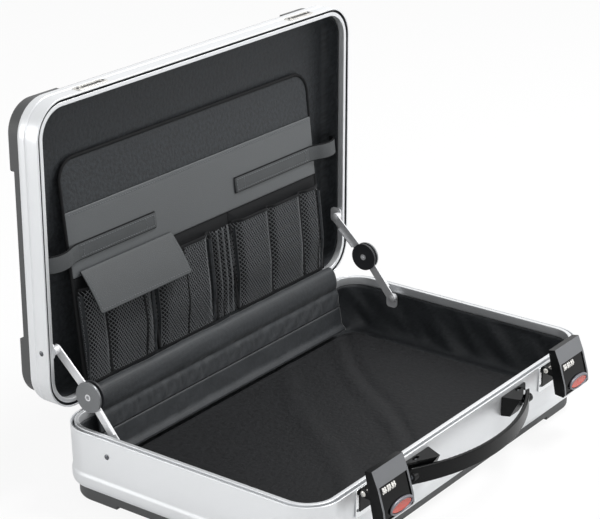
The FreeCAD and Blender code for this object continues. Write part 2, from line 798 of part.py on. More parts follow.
def hinge_leaf(first):
    """Leaf lying down the outside of the base's back wall, with its barrels."""
    half = HINGE_LENGTH / 2
    face = HALF_D
    leaf = box(-half, half, face, face + HINGE_LEAF, -HINGE_LEAF_WIDTH, 0.0)
    body = leaf.cut(hinge_sweeps(first)).fuse(hinge_knuckles(first))
    bore = rod_x(-half - OVERRUN, half + OVERRUN, HINGE_Y, 0.0, HINGE_BORE)
    return body.cut(bore).removeSplitter()


def base_hinge_leaf():
    """Hinge leaf on the base, with the end barrels."""
    return hinge_leaf(0)


def lid_hinge_leaf():
    """Hinge leaf on the lid."""
    return opened(mirrored_up(hinge_leaf(1)))


def hinge_pin():
    """Pin through all the barrels, with a head at each end."""
    half = HINGE_LENGTH / 2
    pin = rod_x(-half, half, HINGE_Y, 0.0, HINGE_PIN)
    for side in (-1, 1):
        x0, x1 = sorted((side * half, side * (half + HINGE_PIN_HEAD)))
        pin = pin.fuse(rod_x(x0, x1, HINGE_Y, 0.0, HINGE_PIN_HEAD_RADIUS))
    return pin


def hinge_cover():
    """Cloth roll that hides the hinge from inside, from the organiser's foot to its seam."""
    t = COVER_THICKNESS
    top = PANEL_FOOT_Z - SOFT_GAP
    outline = [
        (PANEL_FOOT_Y, top),
        ((COVER_CREST_Y, COVER_CREST_Z), (COVER_BULGE_Y, COVER_BULGE_Z)),
        (COVER_CREASE_Y, COVER_CREASE_Z),
        (COVER_SEAM_Y, COVER_SEAM_Z),
        (COVER_SEAM_Y + t, COVER_SEAM_Z),
        (COVER_CREASE_Y + t, COVER_CREASE_Z),
        (COVER_BULGE_Y + t, COVER_BULGE_Z),
        ((COVER_CREST_Y, COVER_CREST_Z - t), (PANEL_FOOT_Y - t, top)),
    ]
    return yz_plate(outline, -COVER_HALF_LENGTH, COVER_HALF_LENGTH)


def hinge_cover_skirt():
    """Lower strip of the cloth, from the seam to the floor of the base."""
    t = COVER_THICKNESS
    top = COVER_SEAM_Z - SKIRT_SEAM_GAP
    outline = [
        (COVER_SEAM_Y, top),
        (COVER_SEAM_Y + t, top),
        (SKIRT_FOOT_Y + t, SKIRT_FOOT_Z),
        (SKIRT_FOOT_Y, SKIRT_FOOT_Z),
    ]
    return yz_plate(outline, -COVER_HALF_LENGTH, COVER_HALF_LENGTH)


# Stays with their friction discs, drawn for the right side


def arm_plane(outer):
    """X of the two faces of an arm, on the outer or the inner side of the split."""
    if outer:
        return STAY_SPLIT + STAY_SPLIT_GAP / 2, STAY_SPLIT + STAY_SPLIT_GAP / 2 + STAY_ARM
    return STAY_SPLIT - STAY_SPLIT_GAP / 2 - STAY_ARM, STAY_SPLIT - STAY_SPLIT_GAP / 2


def stay_arm(start, end, outer):
    """Flat arm from its pivot to the disc, with a turned edge and a hollow rivet."""
    x0, x1 = arm_plane(outer)
    (y0, z0), (y1, z1) = start, end
    length = math.hypot(y1 - y0, z1 - z0)
    turn = math.degrees(math.atan2(z1 - z0, y1 - y0))
    half = STAY_ARM_WIDTH / 2
    arm = rod_x(x0, x1, 0.0, 0.0, half).fuse([
        box(x0, x1, 0.0, length, -half, half),
        rod_x(x0, x1, length, 0.0, half),
    ])
    flange_end = length - STAY_CAP_RADIUS - STAY_ARM
    fx0, fx1 = (x1, x1 + STAY_FLANGE) if outer else (x0 - STAY_FLANGE, x0)
    arm = arm.fuse(box(fx0, fx1, STAY_FLANGE_START, flange_end, half - STAY_FLANGE_WALL, half))
    cap = STAY_CAP + STAY_EYELET_PROUD
    ex0, ex1 = (x0, x1 + cap) if outer else (x0 - cap, x1)
    arm = arm.fuse(rod_x(ex0, ex1, length, 0.0, STAY_EYELET))
    arm = arm.cut([
        rod_x(ex0 - OVERRUN, ex1 + OVERRUN, length, 0.0, STAY_EYELET_BORE),
        rod_x(x0 - OVERRUN, x1 + OVERRUN, 0.0, 0.0, STAY_PIVOT + STAY_FIT),
    ]).removeSplitter()
    arm.rotate(ORIGIN, AXIS_X, turn)
    arm.translate(Vector(0, y0, z0))
    return arm


def stay_cap(outer):
    """Plastic cap of the friction disc on one arm."""
    x0, x1 = arm_plane(outer)
    y, z = stay_disc_point()
    c0, c1 = (x1, x1 + STAY_CAP) if outer else (x0 - STAY_CAP, x0)
    cap = rod_x(c0, c1, y, z, STAY_CAP_RADIUS)
    face = c1 if outer else c0
    rim = [e for e in cap.Edges if abs(e.CenterOfMass.x - face) < SAME_PLACE and e.Closed]
    cap = cap.makeFillet(STAY_CAP_EDGE, rim)
    return cap.cut(rod_x(c0 - OVERRUN, c1 + OVERRUN, y, z, STAY_EYELET))


def stay_bracket(point, rivet_point, outer):
    """Plate riveted through the lining, with a pivot boss, stud and domed head."""
    y, z = point
    rivet_y, rivet_z = rivet_point
    x0, x1 = arm_plane(outer)
    wall = HALF_W - LINING_INSET - SOFT_GAP / 2
    seat = wall - STAY_PLATE
    half_y, half_z = STAY_PLATE_WIDTH / 2, STAY_PLATE_LENGTH / 2
    plate = box(seat, wall, rivet_y - half_y, rivet_y + half_y, rivet_z - half_z, rivet_z + half_z)
    upright = [e for e in plate.Edges if abs(e.tangentAt(e.FirstParameter).x) > math.sqrt(0.5)]
    plate = plate.makeFillet(STAY_PLATE_RADIUS, upright)
    return plate.fuse([
        rod_x(x1 + STAY_BOSS_GAP, seat, y, z, STAY_BOSS),
        rod_x(x0 - STAY_BOSS_GAP, seat, y, z, STAY_PIVOT),
        dome_x(x0 - STAY_BOSS_GAP, y, z, STAY_RIVET_HEAD, STAY_RIVET_RISE, -1),
    ]).removeSplitter()


def wall_rivets(point):
    """Domed rivets on the outside of both side walls."""
    y, z = point
    stem = rod_x(HALF_W - RIVET_STEM_LENGTH, HALF_W, y, z, RIVET_STEM)
    return both_sides(stem.fuse(dome_x(HALF_W, y, z, RIVET_HEAD, RIVET_RISE, 1)))


# Handle


def arch_radius():
    """Radius of the handle's outer face in plan."""
    rise = HANDLE_REACH - HANDLE_END_REACH
    return (HANDLE_HALF_SPAN ** 2 + rise ** 2) / (2 * rise)


def arch_sector(radius, z0, z1):
    """Disc about the centre of the handle's arch, between two heights."""
    centre_y = -HALF_D - HANDLE_REACH + arch_radius()
    return Part.makeCylinder(radius, z1 - z0, Vector(0, centre_y, z0))


def handle():
    """Arched grip with an eye at each end."""
    z0 = -HANDLE_AXIS_DOWN - HANDLE_HEIGHT / 2
    z1 = z0 + HANDLE_HEIGHT
    radius = arch_radius()
    y_wall = -HALF_D - HANDLE_END_REACH + HANDLE_THICKNESS
    span = HANDLE_HALF_SPAN
    strip = arch_sector(radius, z0, z1).cut(arch_sector(radius - HANDLE_THICKNESS, z0, z1))
    strip = strip.common(box(-span, span, -HALF_D - HANDLE_REACH - OVERRUN, y_wall, z0, z1))
    round_edges = [e for e in strip.Edges if e.Length > span]
    grip = strip.makeFillet(HANDLE_EDGE, round_edges)
    y, z = -HALF_D - HANDLE_AXIS_OUT, -HANDLE_AXIS_DOWN
    heel = box(-span, span, y, y_wall, z0, z1)
    grip = grip.cut(heel.cut(rod_x(-span, span, y, z, HANDLE_AXIS_OUT - HANDLE_WALL_GAP)))
    for side in (-1, 1):
        x0, x1 = sorted((side * HANDLE_BOSS_INNER, side * HANDLE_BOSS_OUTER))
        grip = grip.fuse(rod_x(x0, x1, y, z, HANDLE_BOSS))
    bore = rod_x(-HANDLE_BOSS_OUTER - OVERRUN, HANDLE_BOSS_OUTER + OVERRUN, y, z,
                 HANDLE_PIN + HANDLE_PIN_GAP)
    return grip.cut(bore).removeSplitter()


def handle_room():
    """Space behind the handle's arch that stays free, level and swung down."""
    reach = arch_radius() - HANDLE_THICKNESS - BRACKET_ARCH_GAP
    level = arch_sector(reach, -CASE_DEPTH, CASE_DEPTH)
    dropped = level.copy()
    dropped.rotate(Vector(0, -HALF_D - HANDLE_AXIS_OUT, -HANDLE_AXIS_DOWN), AXIS_X, HANDLE_DROP_ANGLE)
    return level.common(dropped)


def handle_bracket(side):
    """Wedge-shaped housing behind one end of the handle, its ledge running over the eye."""
    outer = side * BRACKET_OUTER
    x0, x1 = sorted((side * BRACKET_INNER, outer))
    outline = [
        (-HALF_D, -BRACKET_TOP),
        (-HALF_D - BRACKET_DEPTH, -BRACKET_TOP - BRACKET_TOP_FALL),
        (-HALF_D - BRACKET_FOOT_DEPTH, -BRACKET_BOTTOM),
        (-HALF_D, -BRACKET_BOTTOM),
    ]
    body = yz_plate(outline, x0, x1).common(handle_room())
    inner = side * BRACKET_INNER
    slant = Part.Face(wire_of([
        Vector(inner, -HALF_D, -CASE_DEPTH),
        Vector(inner + side * BRACKET_END_SLANT, -HALF_D - BRACKET_DEPTH, -CASE_DEPTH),
        Vector(inner, -HALF_D - BRACKET_DEPTH, -CASE_DEPTH),
    ])).extrude(Vector(0, 0, CASE_DEPTH + CASE_DEPTH))
    body = body.cut(slant)
    low = -BRACKET_TOP - BRACKET_LEDGE
    cover = arch_sector(arch_radius() - HANDLE_THICKNESS, low, -BRACKET_TOP)
    l0, l1 = sorted((outer - side * BRACKET_LEDGE, side * BRACKET_LEDGE_OUTER))
    ledge = box(l0, l1, -HALF_D - BRACKET_DEPTH, -HALF_D, low, -BRACKET_TOP)
    body = body.fuse(ledge.common(cover)).removeSplitter()
    slot_x = side * (BRACKET_INNER + SLOT_FROM_INNER)
    y = -HALF_D - SLOT_OUT
    half = SLOT_LENGTH / 2 - SLOT_WIDTH / 2
    floor = -BRACKET_TOP - SLOT_DEPTH
    slot = box(slot_x - half, slot_x + half, y - SLOT_WIDTH / 2, y + SLOT_WIDTH / 2, floor, OVERRUN)
    slot = slot.fuse([
        Part.makeCylinder(SLOT_WIDTH / 2, OVERRUN - floor, Vector(slot_x + end * half, y, floor))
        for end in (-1, 1)
    ])
    y_pin, z_pin = -HALF_D - HANDLE_AXIS_OUT, -HANDLE_AXIS_DOWN
    p0, p1 = sorted((outer - side * HANDLE_PIN_DEPTH, outer + side * OVERRUN))
    return body.cut([slot, rod_x(p0, p1, y_pin, z_pin, HANDLE_PIN)])


def handle_pins():
    """Pins from the brackets into the handle's eyes."""
    y, z = -HALF_D - HANDLE_AXIS_OUT, -HANDLE_AXIS_DOWN
    return both_sides(rod_x(BRACKET_OUTER - HANDLE_PIN_DEPTH, HANDLE_BOSS_OUTER, y, z, HANDLE_PIN))


def handle_screws():
    """Screw heads in the slots of the brackets."""
    x = BRACKET_INNER + SLOT_FROM_INNER
    y = -HALF_D - SLOT_OUT
    floor = -BRACKET_TOP - SLOT_DEPTH
    return both_sides(Part.makeCylinder(SCREW_RADIUS, SCREW_RISE, Vector(x, y, floor)))


# Latches. Cover pieces are drawn shut at X = 0 with the cover's top at Z = 0 and its back
# at Y = 0, then placed by latch_shut or latch_open.


def link_end(angle):
    """Place of the link's far end, as (out, down), for an angle below level."""
    turn = math.radians(angle)
    return (LINK_AXIS_OUT + LINK_LENGTH * math.cos(turn),
            LINK_AXIS_DOWN + LINK_LENGTH * math.sin(turn))


def cover_pivot():
    """Pivot in the cover's own frame, as (along, depth)."""
    out, down = link_end(LINK_CLOSED_ANGLE)
    return down + COVER_TOP_CLOSED, out - COVER_BACK_CLOSED


def latch_open(shape, centre):
    """Place a cover piece on the open latch at X = centre."""
    along, depth = cover_pivot()
    out, down = link_end(LINK_OPEN_ANGLE)
    placed = shape.copy()
    placed.rotate(Vector(0, -depth, -along), AXIS_X, -COVER_TILT)
    placed.translate(Vector(centre, depth - HALF_D - out, along - down))
    return placed


def front_depth(along):
    """Depth of the cover's front face at a distance below its top."""
    stations = [
        (0.0, LATCH_TOP_DEPTH),
        (LATCH_SHOULDER_AT, LATCH_SHOULDER_DEPTH),
        (LATCH_BELLY_AT, LATCH_BELLY_DEPTH),
        (LATCH_TOE_AT, LATCH_TOE_DEPTH),
        (LATCH_LENGTH, LATCH_CHIN_DEPTH),
    ]
    for (a0, d0), (a1, d1) in zip(stations, stations[1:]):
        if along <= a1:
            return d0 + (d1 - d0) * (along - a0) / (a1 - a0)
    return LATCH_CHIN_DEPTH


def cover_outline(inset):
    """Side outline of the cover as (y, z), its front moved back by inset."""
    def at(along, depth):
        return (-depth, -along)
    return [
        at(0.0, 0.0),
        at(0.0, LATCH_TOP_DEPTH - inset),
        at(LATCH_SHOULDER_AT, LATCH_SHOULDER_DEPTH - inset),
        at(LATCH_BELLY_AT, LATCH_BELLY_DEPTH - inset),
        at(LATCH_TOE_AT, LATCH_TOE_DEPTH - inset),
        at(LATCH_LENGTH, LATCH_CHIN_DEPTH - inset),
        at(LATCH_HEEL_AT, 0.0),
    ]


def cover_cavity():
    """Hollow of the cover, open at the back."""
    half = LATCH_HALF - LATCH_WALL
    field_in = LATCH_FIELD_DEPTH + LATCH_FRONT_WALL

    def at(along, depth):
        return (-depth, -along)
    outline = [
        at(LATCH_WALL, -OVERRUN),
        at(LATCH_WALL, front_depth(LATCH_WALL) - LATCH_FRONT_WALL),
        at(LATCH_FIELD_START - LATCH_WALL,
           front_depth(LATCH_FIELD_START - LATCH_WALL) - LATCH_FRONT_WALL),
        at(LATCH_FIELD_START, front_depth(LATCH_FIELD_START) - field_in),
        at(LATCH_BELLY_AT, front_depth(LATCH_BELLY_AT) - field_in),
        at(LATCH_CAVITY_END, front_depth(LATCH_CAVITY_END) - field_in),
        at(LATCH_HEEL_AT - LATCH_WALL, -OVERRUN),
    ]
    return yz_plate(outline, -half, half)


def field_recess():
    """Shallow recess in the lower part of the cover's front."""
    def at(along, depth):
        return (-depth, -along)
    outline = [
        at(LATCH_FIELD_START, front_depth(LATCH_FIELD_START) - LATCH_FIELD_DEPTH),
        at(LATCH_FIELD_START, LATCH_BELLY_DEPTH + OVERRUN),
        at(LATCH_FIELD_END, LATCH_BELLY_DEPTH + OVERRUN),
        at(LATCH_FIELD_END, front_depth(LATCH_FIELD_END) - LATCH_FIELD_DEPTH),
        at(LATCH_BELLY_AT, front_depth(LATCH_BELLY_AT) - LATCH_FIELD_DEPTH),
    ]
    return yz_plate(outline, -LATCH_FIELD_HALF, LATCH_FIELD_HALF)


def ellipse_block(half_x, half_z, depth0, depth1):
    """Oval bar standing out of the cover at the button, between two depths."""
    centre = Vector(BUTTON_X, -depth0, -BUTTON_AT)
    ring = Part.Ellipse(centre + Vector(half_x, 0, 0), centre + Vector(0, 0, half_z), centre)
    face = Part.Face(Part.Wire([ring.toShape()]))
    return face.extrude(Vector(0, depth0 - depth1, 0))


def dial_centres():
    """X of the three dials."""
    return [DIAL_FIRST + index * DIAL_PITCH for index in range(DIAL_COUNT)]


def latch_cover_shape():
    """Moulded cover with its hollow, recess, dial slots, axle and pivot bosses."""
    body = yz_plate(cover_outline(0.0), -LATCH_HALF, LATCH_HALF)
    body = body.cut([cover_cavity(), field_recess()])
    along, depth = cover_pivot()
    inner = LATCH_HALF - LATCH_WALL
    for side in (-1, 1):
        x0, x1 = sorted((side * LATCH_BOSS_INNER, side * inner))
        body = body.fuse(rod_x(x0, x1, -depth, -along, LATCH_BOSS))
    bore = rod_x(-TRUNNION_END - LINK_PIN_GAP, TRUNNION_END + LINK_PIN_GAP, -depth, -along,
                 TRUNNION + LINK_PIN_GAP)
    half_slot = DIAL_WIDTH / 2 + DIAL_SLOT_GAP
    reach = DIAL_RADIUS + DIAL_SLOT_GAP
    slots = [
        rod_x(x - half_slot, x + half_slot, -DIAL_DEPTH, -DIAL_AT, reach)
        for x in dial_centres()
    ]
    hole = ellipse_block(BUTTON_HALF_LENGTH + BUTTON_GAP, BUTTON_HALF_HEIGHT + BUTTON_GAP,
                         LATCH_TOP_DEPTH - LATCH_WALL, LATCH_BELLY_DEPTH + OVERRUN)
    body = body.cut([bore, hole] + slots)
    first, last = dial_centres()[0], dial_centres()[-1]
    x0 = first - half_slot - DIAL_CHEEK
    x1 = last + half_slot + DIAL_CHEEK
    body = body.fuse(rod_x(x0, x1, -DIAL_DEPTH, -DIAL_AT, DIAL_AXLE))
    front = front_depth(DIAL_AT) - LATCH_FIELD_DEPTH - LATCH_FRONT_WALL / 2
    cheeks = []
    for x in (x0, x1 - DIAL_CHEEK):
        cheeks.append(box(x, x + DIAL_CHEEK, -front, -DIAL_DEPTH + DIAL_AXLE,
                          -DIAL_AT - DIAL_AXLE, -DIAL_AT + DIAL_AXLE))
    return body.fuse(cheeks).removeSplitter()


def latch_hook_shape():
    """Steel claw seated behind the upper part of the cover's front."""
    def at(along, depth):
        return (-depth, -along)
    outline = [
        at(HOOK_TOP, -HOOK_REACH),
        at(HOOK_TOP, front_depth(HOOK_TOP) - LATCH_FRONT_WALL),
        at(HOOK_FOOT_AT, front_depth(HOOK_FOOT_AT) - LATCH_FRONT_WALL),
        at(HOOK_FOOT_AT, HOOK_FOOT_DEPTH),
        at(HOOK_BOTTOM, HOOK_ROOT_DEPTH),
        at(HOOK_BOTTOM, -HOOK_REACH),
    ]
    return yz_plate(outline, -HOOK_HALF, HOOK_HALF)


def dial_shape(x):
    """Number wheel with finger grips round its rim."""
    half = DIAL_WIDTH / 2
    wheel = rod_x(x - half, x + half, -DIAL_DEPTH, -DIAL_AT, DIAL_RADIUS)
    grips = []
    for index in range(DIAL_GRIPS):
        turn = 2 * math.pi * (index + 0.5) / DIAL_GRIPS
        y = -DIAL_DEPTH + DIAL_RADIUS * math.cos(turn)
        z = -DIAL_AT + DIAL_RADIUS * math.sin(turn)
        grips.append(rod_x(x - half, x + half, y, z, DIAL_GRIP_RADIUS))
    bore = rod_x(x - half - OVERRUN, x + half + OVERRUN, -DIAL_DEPTH, -DIAL_AT,
                 DIAL_AXLE + DIAL_AXLE_GAP)
    return wheel.cut(grips + [bore])


def button_shape():
    """Oval release button with the flange that keeps it in the cover."""
    face = front_depth(BUTTON_AT) - LATCH_FIELD_DEPTH
    seat = face - LATCH_FRONT_WALL - BUTTON_SEAT_GAP
    low = seat - BUTTON_FLANGE_WALL
    button = ellipse_block(BUTTON_HALF_LENGTH, BUTTON_HALF_HEIGHT, low, face + BUTTON_PROUD)
    flange = ellipse_block(BUTTON_HALF_LENGTH + BUTTON_FLANGE, BUTTON_HALF_HEIGHT + BUTTON_FLANGE,
                           low, seat)
    return button.fuse(flange).removeSplitter()


def latch_link_shape():
    """Link lying level along -Y from its pivot at the origin."""
    cheeks = []
    for side in (-1, 1):
        x0, x1 = sorted((side * LINK_INNER, side * LINK_OUTER))
        cheek = rod_x(x0, x1, 0.0, 0.0, LINK_RADIUS).fuse([
            box(x0, x1, -LINK_LENGTH, 0.0, -LINK_RADIUS, LINK_RADIUS),
            rod_x(x0, x1, -LINK_LENGTH, 0.0, LINK_RADIUS),
        ])
        t0, t1 = sorted((side * LINK_OUTER, side * TRUNNION_END))
        cheeks.append(cheek.fuse(rod_x(t0, t1, -LINK_LENGTH, 0.0, TRUNNION)))
    web = box(-LINK_INNER, LINK_INNER, -LINK_WEB_END, -LINK_WEB_START,
              -LINK_WEB_OFFSET, -LINK_WEB_OFFSET + LINK_WEB)
    body = cheeks[0].fuse([cheeks[1], web])
    bore = rod_x(-LINK_OUTER - OVERRUN, LINK_OUTER + OVERRUN, 0.0, 0.0, LINK_PIN + LINK_PIN_GAP)
    return body.cut(bore).removeSplitter()


def latch_link(centre):
    """Link of the open latch."""
    link = latch_link_shape()
    link.rotate(ORIGIN, AXIS_X, LINK_OPEN_ANGLE)
    link.translate(Vector(centre, -HALF_D - LINK_AXIS_OUT, -LINK_AXIS_DOWN))
    return link


def latch_plate(centre):
    """Chromed plate on the front wall."""
    half = LATCH_PLATE_HALF
    plate = box(centre - half, centre + half, -HALF_D - LATCH_PLATE, -HALF_D,
                -LATCH_PLATE_BOTTOM, -LATCH_PLATE_TOP)
    along_y = [e for e in plate.Edges if abs(e.tangentAt(e.FirstParameter).y) > math.sqrt(0.5)]
    return plate.makeFillet(LATCH_PLATE_RADIUS, along_y)


def latch_bracket(centre):
    """Black bracket on the plate, with an ear at each end of the link pin."""
    y0 = -HALF_D - LATCH_PLATE
    top = -LINK_AXIS_DOWN + EAR_RADIUS
    web = box(centre - EAR_OUTER, centre + EAR_OUTER, y0 - EAR_WEB, y0, -EAR_WEB_BOTTOM, top - EAR_WEB)
    y, z = -HALF_D - LINK_AXIS_OUT, -LINK_AXIS_DOWN
    pieces = []
    for side in (-1, 1):
        x0, x1 = sorted((centre + side * EAR_INNER, centre + side * EAR_OUTER))
        ear = yz_plate([(y0, top), (y, top), (y, z - EAR_RADIUS), (y0, -EAR_FOOT)], x0, x1)
        pieces.append(ear.fuse(rod_x(x0, x1, y, z, EAR_RADIUS)))
    body = web.fuse(pieces)
    return body.cut(rod_x(centre - LINK_OUTER, centre + LINK_OUTER, y, z, LINK_PIN)).removeSplitter()


def latch_pins():
    """Pivot pins of both links, with a head at each end."""
    y, z = -HALF_D - LINK_AXIS_OUT, -LINK_AXIS_DOWN
    pins = []
    for side in (-1, 1):
        centre = side * LATCH_OFFSET
        reach = LINK_OUTER + LINK_PIN_GAP
        pin = rod_x(centre - reach, centre + reach, y, z, LINK_PIN)
        pin = pin.fuse([
            dome_x(centre + end * reach, y, z, LINK_PIN_HEAD, LINK_PIN_HEAD_RISE, end)
            for end in (-1, 1)
        ])
        pins.append(pin.removeSplitter())
    return Part.makeCompound(pins)


def plate_rivets():
    """Rivet heads at the lower corners of the latch plates."""
    heads = []
    y = -HALF_D - LATCH_PLATE
    for side in (-1, 1):
        for end in (-1, 1):
            x = side * LATCH_OFFSET + end * PLATE_RIVET_X
            heads.append(Part.makeCylinder(KEEPER_RIVET, KEEPER_RIVET_RISE,
                                           Vector(x, y, -PLATE_RIVET_DOWN), Vector(0, -1, 0)))
    return Part.makeCompound(heads)


def keeper(centre):
    """Slotted keeper plate on the lid's front wall."""
    y0, y1 = -HALF_D - KEEPER_THICKNESS, -HALF_D
    plate = box(centre - KEEPER_HALF, centre + KEEPER_HALF, y0, y1, KEEPER_LOW, KEEPER_HIGH)
    along_y = [e for e in plate.Edges if abs(e.tangentAt(e.FirstParameter).y) > math.sqrt(0.5)]
    plate = plate.makeFillet(KEEPER_RADIUS, along_y)
    return opened(plate.cut(keeper_pocket(centre)))


def keeper_rivets():
    """Rivet heads on the keepers."""
    heads = []
    z = (KEEPER_LOW + KEEPER_HIGH) / 2
    for side in (-1, 1):
        for end in (-1, 1):
            x = side * LATCH_OFFSET + end * KEEPER_RIVET_X
            heads.append(Part.makeCylinder(KEEPER_RIVET, KEEPER_RIVET_RISE,
                                           Vector(x, -HALF_D - KEEPER_THICKNESS, z), Vector(0, -1, 0)))
    return opened(Part.makeCompound(heads))


# Organiser. Pieces are drawn on an upright panel whose face is Y = 0 and whose foot is
# Z = 0, with -Y out of the face, then leaned back by on_panel.


def panel_lean():
    """Angle at which the board's upper edge rests against the lid's lining."""
    under = LID_WALL_HEIGHT + LINING_DROP
    room = HINGE_Y + under - LINING_FLOOR - SOFT_GAP - PANEL_FOOT_Y
    reach = math.hypot(PANEL_HEIGHT, PANEL_THICKNESS)
    return math.degrees(math.asin(room / reach) - math.atan2(PANEL_THICKNESS, PANEL_HEIGHT))


def on_panel(shape):
    """Lean a panel piece back and set its foot in the lid."""
    placed = shape.copy()
    placed.rotate(ORIGIN, AXIS_X, -panel_lean())
    placed.translate(Vector(0, PANEL_FOOT_Y, PANEL_FOOT_Z))
    return placed


def panel_block(inset, y0, y1):
    """Panel outline with round upper corners, between two depths."""
    half = PANEL_HALF_WIDTH - inset
    top = PANEL_HEIGHT - inset
    radius = PANEL_RADIUS - inset
    c = radius * (1 - math.sqrt(0.5))
    points = [
        Vector(-half, y0, 0),
        Vector(half, y0, 0),
        Vector(half, y0, top - radius),
        (Vector(half - c, y0, top - c), Vector(half - radius, y0, top)),
        Vector(-half + radius, y0, top),
        (Vector(-half + c, y0, top - c), Vector(-half, y0, top - radius)),
    ]
    return Part.Face(wire_of(points)).extrude(Vector(0, y1 - y0, 0))


def organiser_panel():
    """Stiff fabric-covered board."""
    return on_panel(panel_block(PIPING_RADIUS + PIPING_GAP, 0.0, PANEL_THICKNESS))


def organiser_piping():
    """Round binding along the sides and top of the board."""
    outer = panel_block(0.0, -PIPING_RADIUS, PANEL_THICKNESS)
    inner = panel_block(PIPING_RADIUS, -PIPING_RADIUS - OVERRUN,
                        PANEL_THICKNESS + OVERRUN)
    open_foot = box(-PANEL_HALF_WIDTH, PANEL_HALF_WIDTH, -OVERRUN, PANEL_THICKNESS + OVERRUN,
                    -OVERRUN, PIPING_START)
    return outer.cut([inner, open_foot])


def organiser_band():
    """Wide grey band across the board."""
    half = PANEL_HALF_WIDTH - PIPING_RADIUS - SOFT_GAP
    return on_panel(box(-half, half, -SOFT_GAP - BAND_THICKNESS, -SOFT_GAP, BAND_LOW, BAND_HIGH))


def net_face(x0, x1):
    """Front of a net pocket: one plate with rows of diamond gaps between hems."""
    y0 = -NET_OUT - NET_THICKNESS
    low, high = NET_LOW + NET_HEM, NET_HIGH - NET_HEM
    left, right = x0 + NET_HEM, x1 - NET_HEM
    step_x = (right - left) / NET_COLUMNS
    step_z = (high - low) / NET_ROWS
    half_x = step_x * (1 - NET_STRAND_SHARE) / 2
    half_z = step_z * (1 - NET_STRAND_SHARE) / 2
    outer = wire_of([Vector(x0, y0, NET_LOW), Vector(x1, y0, NET_LOW),
                     Vector(x1, y0, NET_HIGH), Vector(x0, y0, NET_HIGH)])
    gaps = []
    for row in range(NET_ROWS):
        for column in range(NET_COLUMNS):
            x = left + (column + 0.5) * step_x
            z = low + (row + 0.5) * step_z
            gaps.append(wire_of([Vector(x - half_x, y0, z), Vector(x, y0, z - half_z),
                                 Vector(x + half_x, y0, z), Vector(x, y0, z + half_z)]))
    face = Part.makeFace([outer] + gaps, "Part::FaceMakerBullseye")
    return face.extrude(Vector(0, NET_THICKNESS, 0))


def pocket(x0, x1):
    """Net pocket: its front plate and the strip that closes its foot."""
    foot = box(x0, x1, -NET_OUT, -SOFT_GAP, NET_LOW, NET_LOW + NET_THICKNESS)
    return on_panel(net_face(x0, x1).fuse(foot).removeSplitter())


def pleat(x, side):
    """Folded side wall of a pocket at X = x, its folds bulging to side."""
    low = NET_LOW + NET_THICKNESS
    depth = NET_OUT - SOFT_GAP
    step = depth / (2 * PLEAT_FOLDS)
    near, far = [], []
    for index in range(2 * PLEAT_FOLDS + 1):
        y = -SOFT_GAP - index * step
        push = PLEAT_FOLD if index % 2 else 0.0
        near.append(Vector(x + side * push, y, low))
        far.append(Vector(x + side * (push + PLEAT_WALL), y, low))
    return Part.Face(wire_of(near + far[::-1])).extrude(Vector(0, 0, NET_HIGH - low))


def pocket_pleats():
    """Folded side walls of the three pockets."""
    pleats = []
    for x0, x1 in ((POCKET_LEFT_FROM, POCKET_LEFT_TO), (POCKET_MIDDLE_FROM, POCKET_MIDDLE_TO),
                   (POCKET_RIGHT_FROM, POCKET_RIGHT_TO)):
        pleats.append(on_panel(pleat(x0 + PLEAT_GAP, 1)))
        pleats.append(on_panel(pleat(x1 - PLEAT_GAP, -1)))
    return Part.makeCompound(pleats)


def pocket_hems():
    """Fabric bindings over the upper edges of the pockets."""
    y = -NET_OUT - NET_THICKNESS - HEM_GAP
    hems = []
    for x0, x1 in ((POCKET_LEFT_FROM, POCKET_LEFT_TO), (POCKET_MIDDLE_FROM, POCKET_MIDDLE_TO),
                   (POCKET_RIGHT_FROM, POCKET_RIGHT_TO)):
        hems.append(box(x0, x1, y - HEM_THICKNESS, y, NET_HIGH - HEM_HEIGHT, NET_HIGH))
    return hems


def organiser_bindings():
    """Piping of the board and the hems of its pockets."""
    return Part.makeCompound([on_panel(piece) for piece in [organiser_piping()] + pocket_hems()])


def flap_axis_out():
    """Distance of the flap's sewn edge from the face of the board."""
    return SOFT_GAP + BAND_THICKNESS + SOFT_GAP + FLAP_HEM_RADIUS


def pocket_flap():
    """Stiff flap over the left pocket, hinged at its sewn upper edge."""
    radius = FLAP_HEM_RADIUS
    half = FLAP_THICKNESS / 2
    leaf = box(FLAP_FROM, FLAP_TO, -half, half, -FLAP_LENGTH, 0.0)
    flap = leaf.fuse(rod_x(FLAP_FROM, FLAP_TO, 0.0, 0.0, radius)).removeSplitter()
    flap.rotate(ORIGIN, AXIS_X, -FLAP_REST_ANGLE)
    flap.translate(Vector(0, -flap_axis_out(), FLAP_AXIS_UP))
    return on_panel(flap)


def strap(side, end):
    """Leatherette strap: a sewn run on the band, then a slack loop to the lid's wall."""
    sewn = SOFT_GAP + BAND_THICKNESS + SOFT_GAP
    t = STRAP_THICKNESS
    wall = HALF_W - LINING_INSET - SOFT_GAP
    edge = PANEL_HALF_WIDTH - STRAP_EDGE_GAP
    middle = (edge + wall) / 2

    def at(x, out):
        return Vector(side * x, -out, STRAP_LOW)
    outline = wire_of([
        at(end, sewn),
        at(edge, sewn),
        (at(middle, STRAP_BOW), at(wall - t, STRAP_WALL_OUT)),
        at(wall - t, -STRAP_WALL_IN),
        at(wall, -STRAP_WALL_IN),
        at(wall, STRAP_WALL_OUT + t),
        (at(middle, STRAP_BOW + t), at(edge, sewn + t)),
        at(end, sewn + t),
    ])
    return on_panel(Part.Face(outline).extrude(Vector(0, 0, STRAP_HEIGHT)))


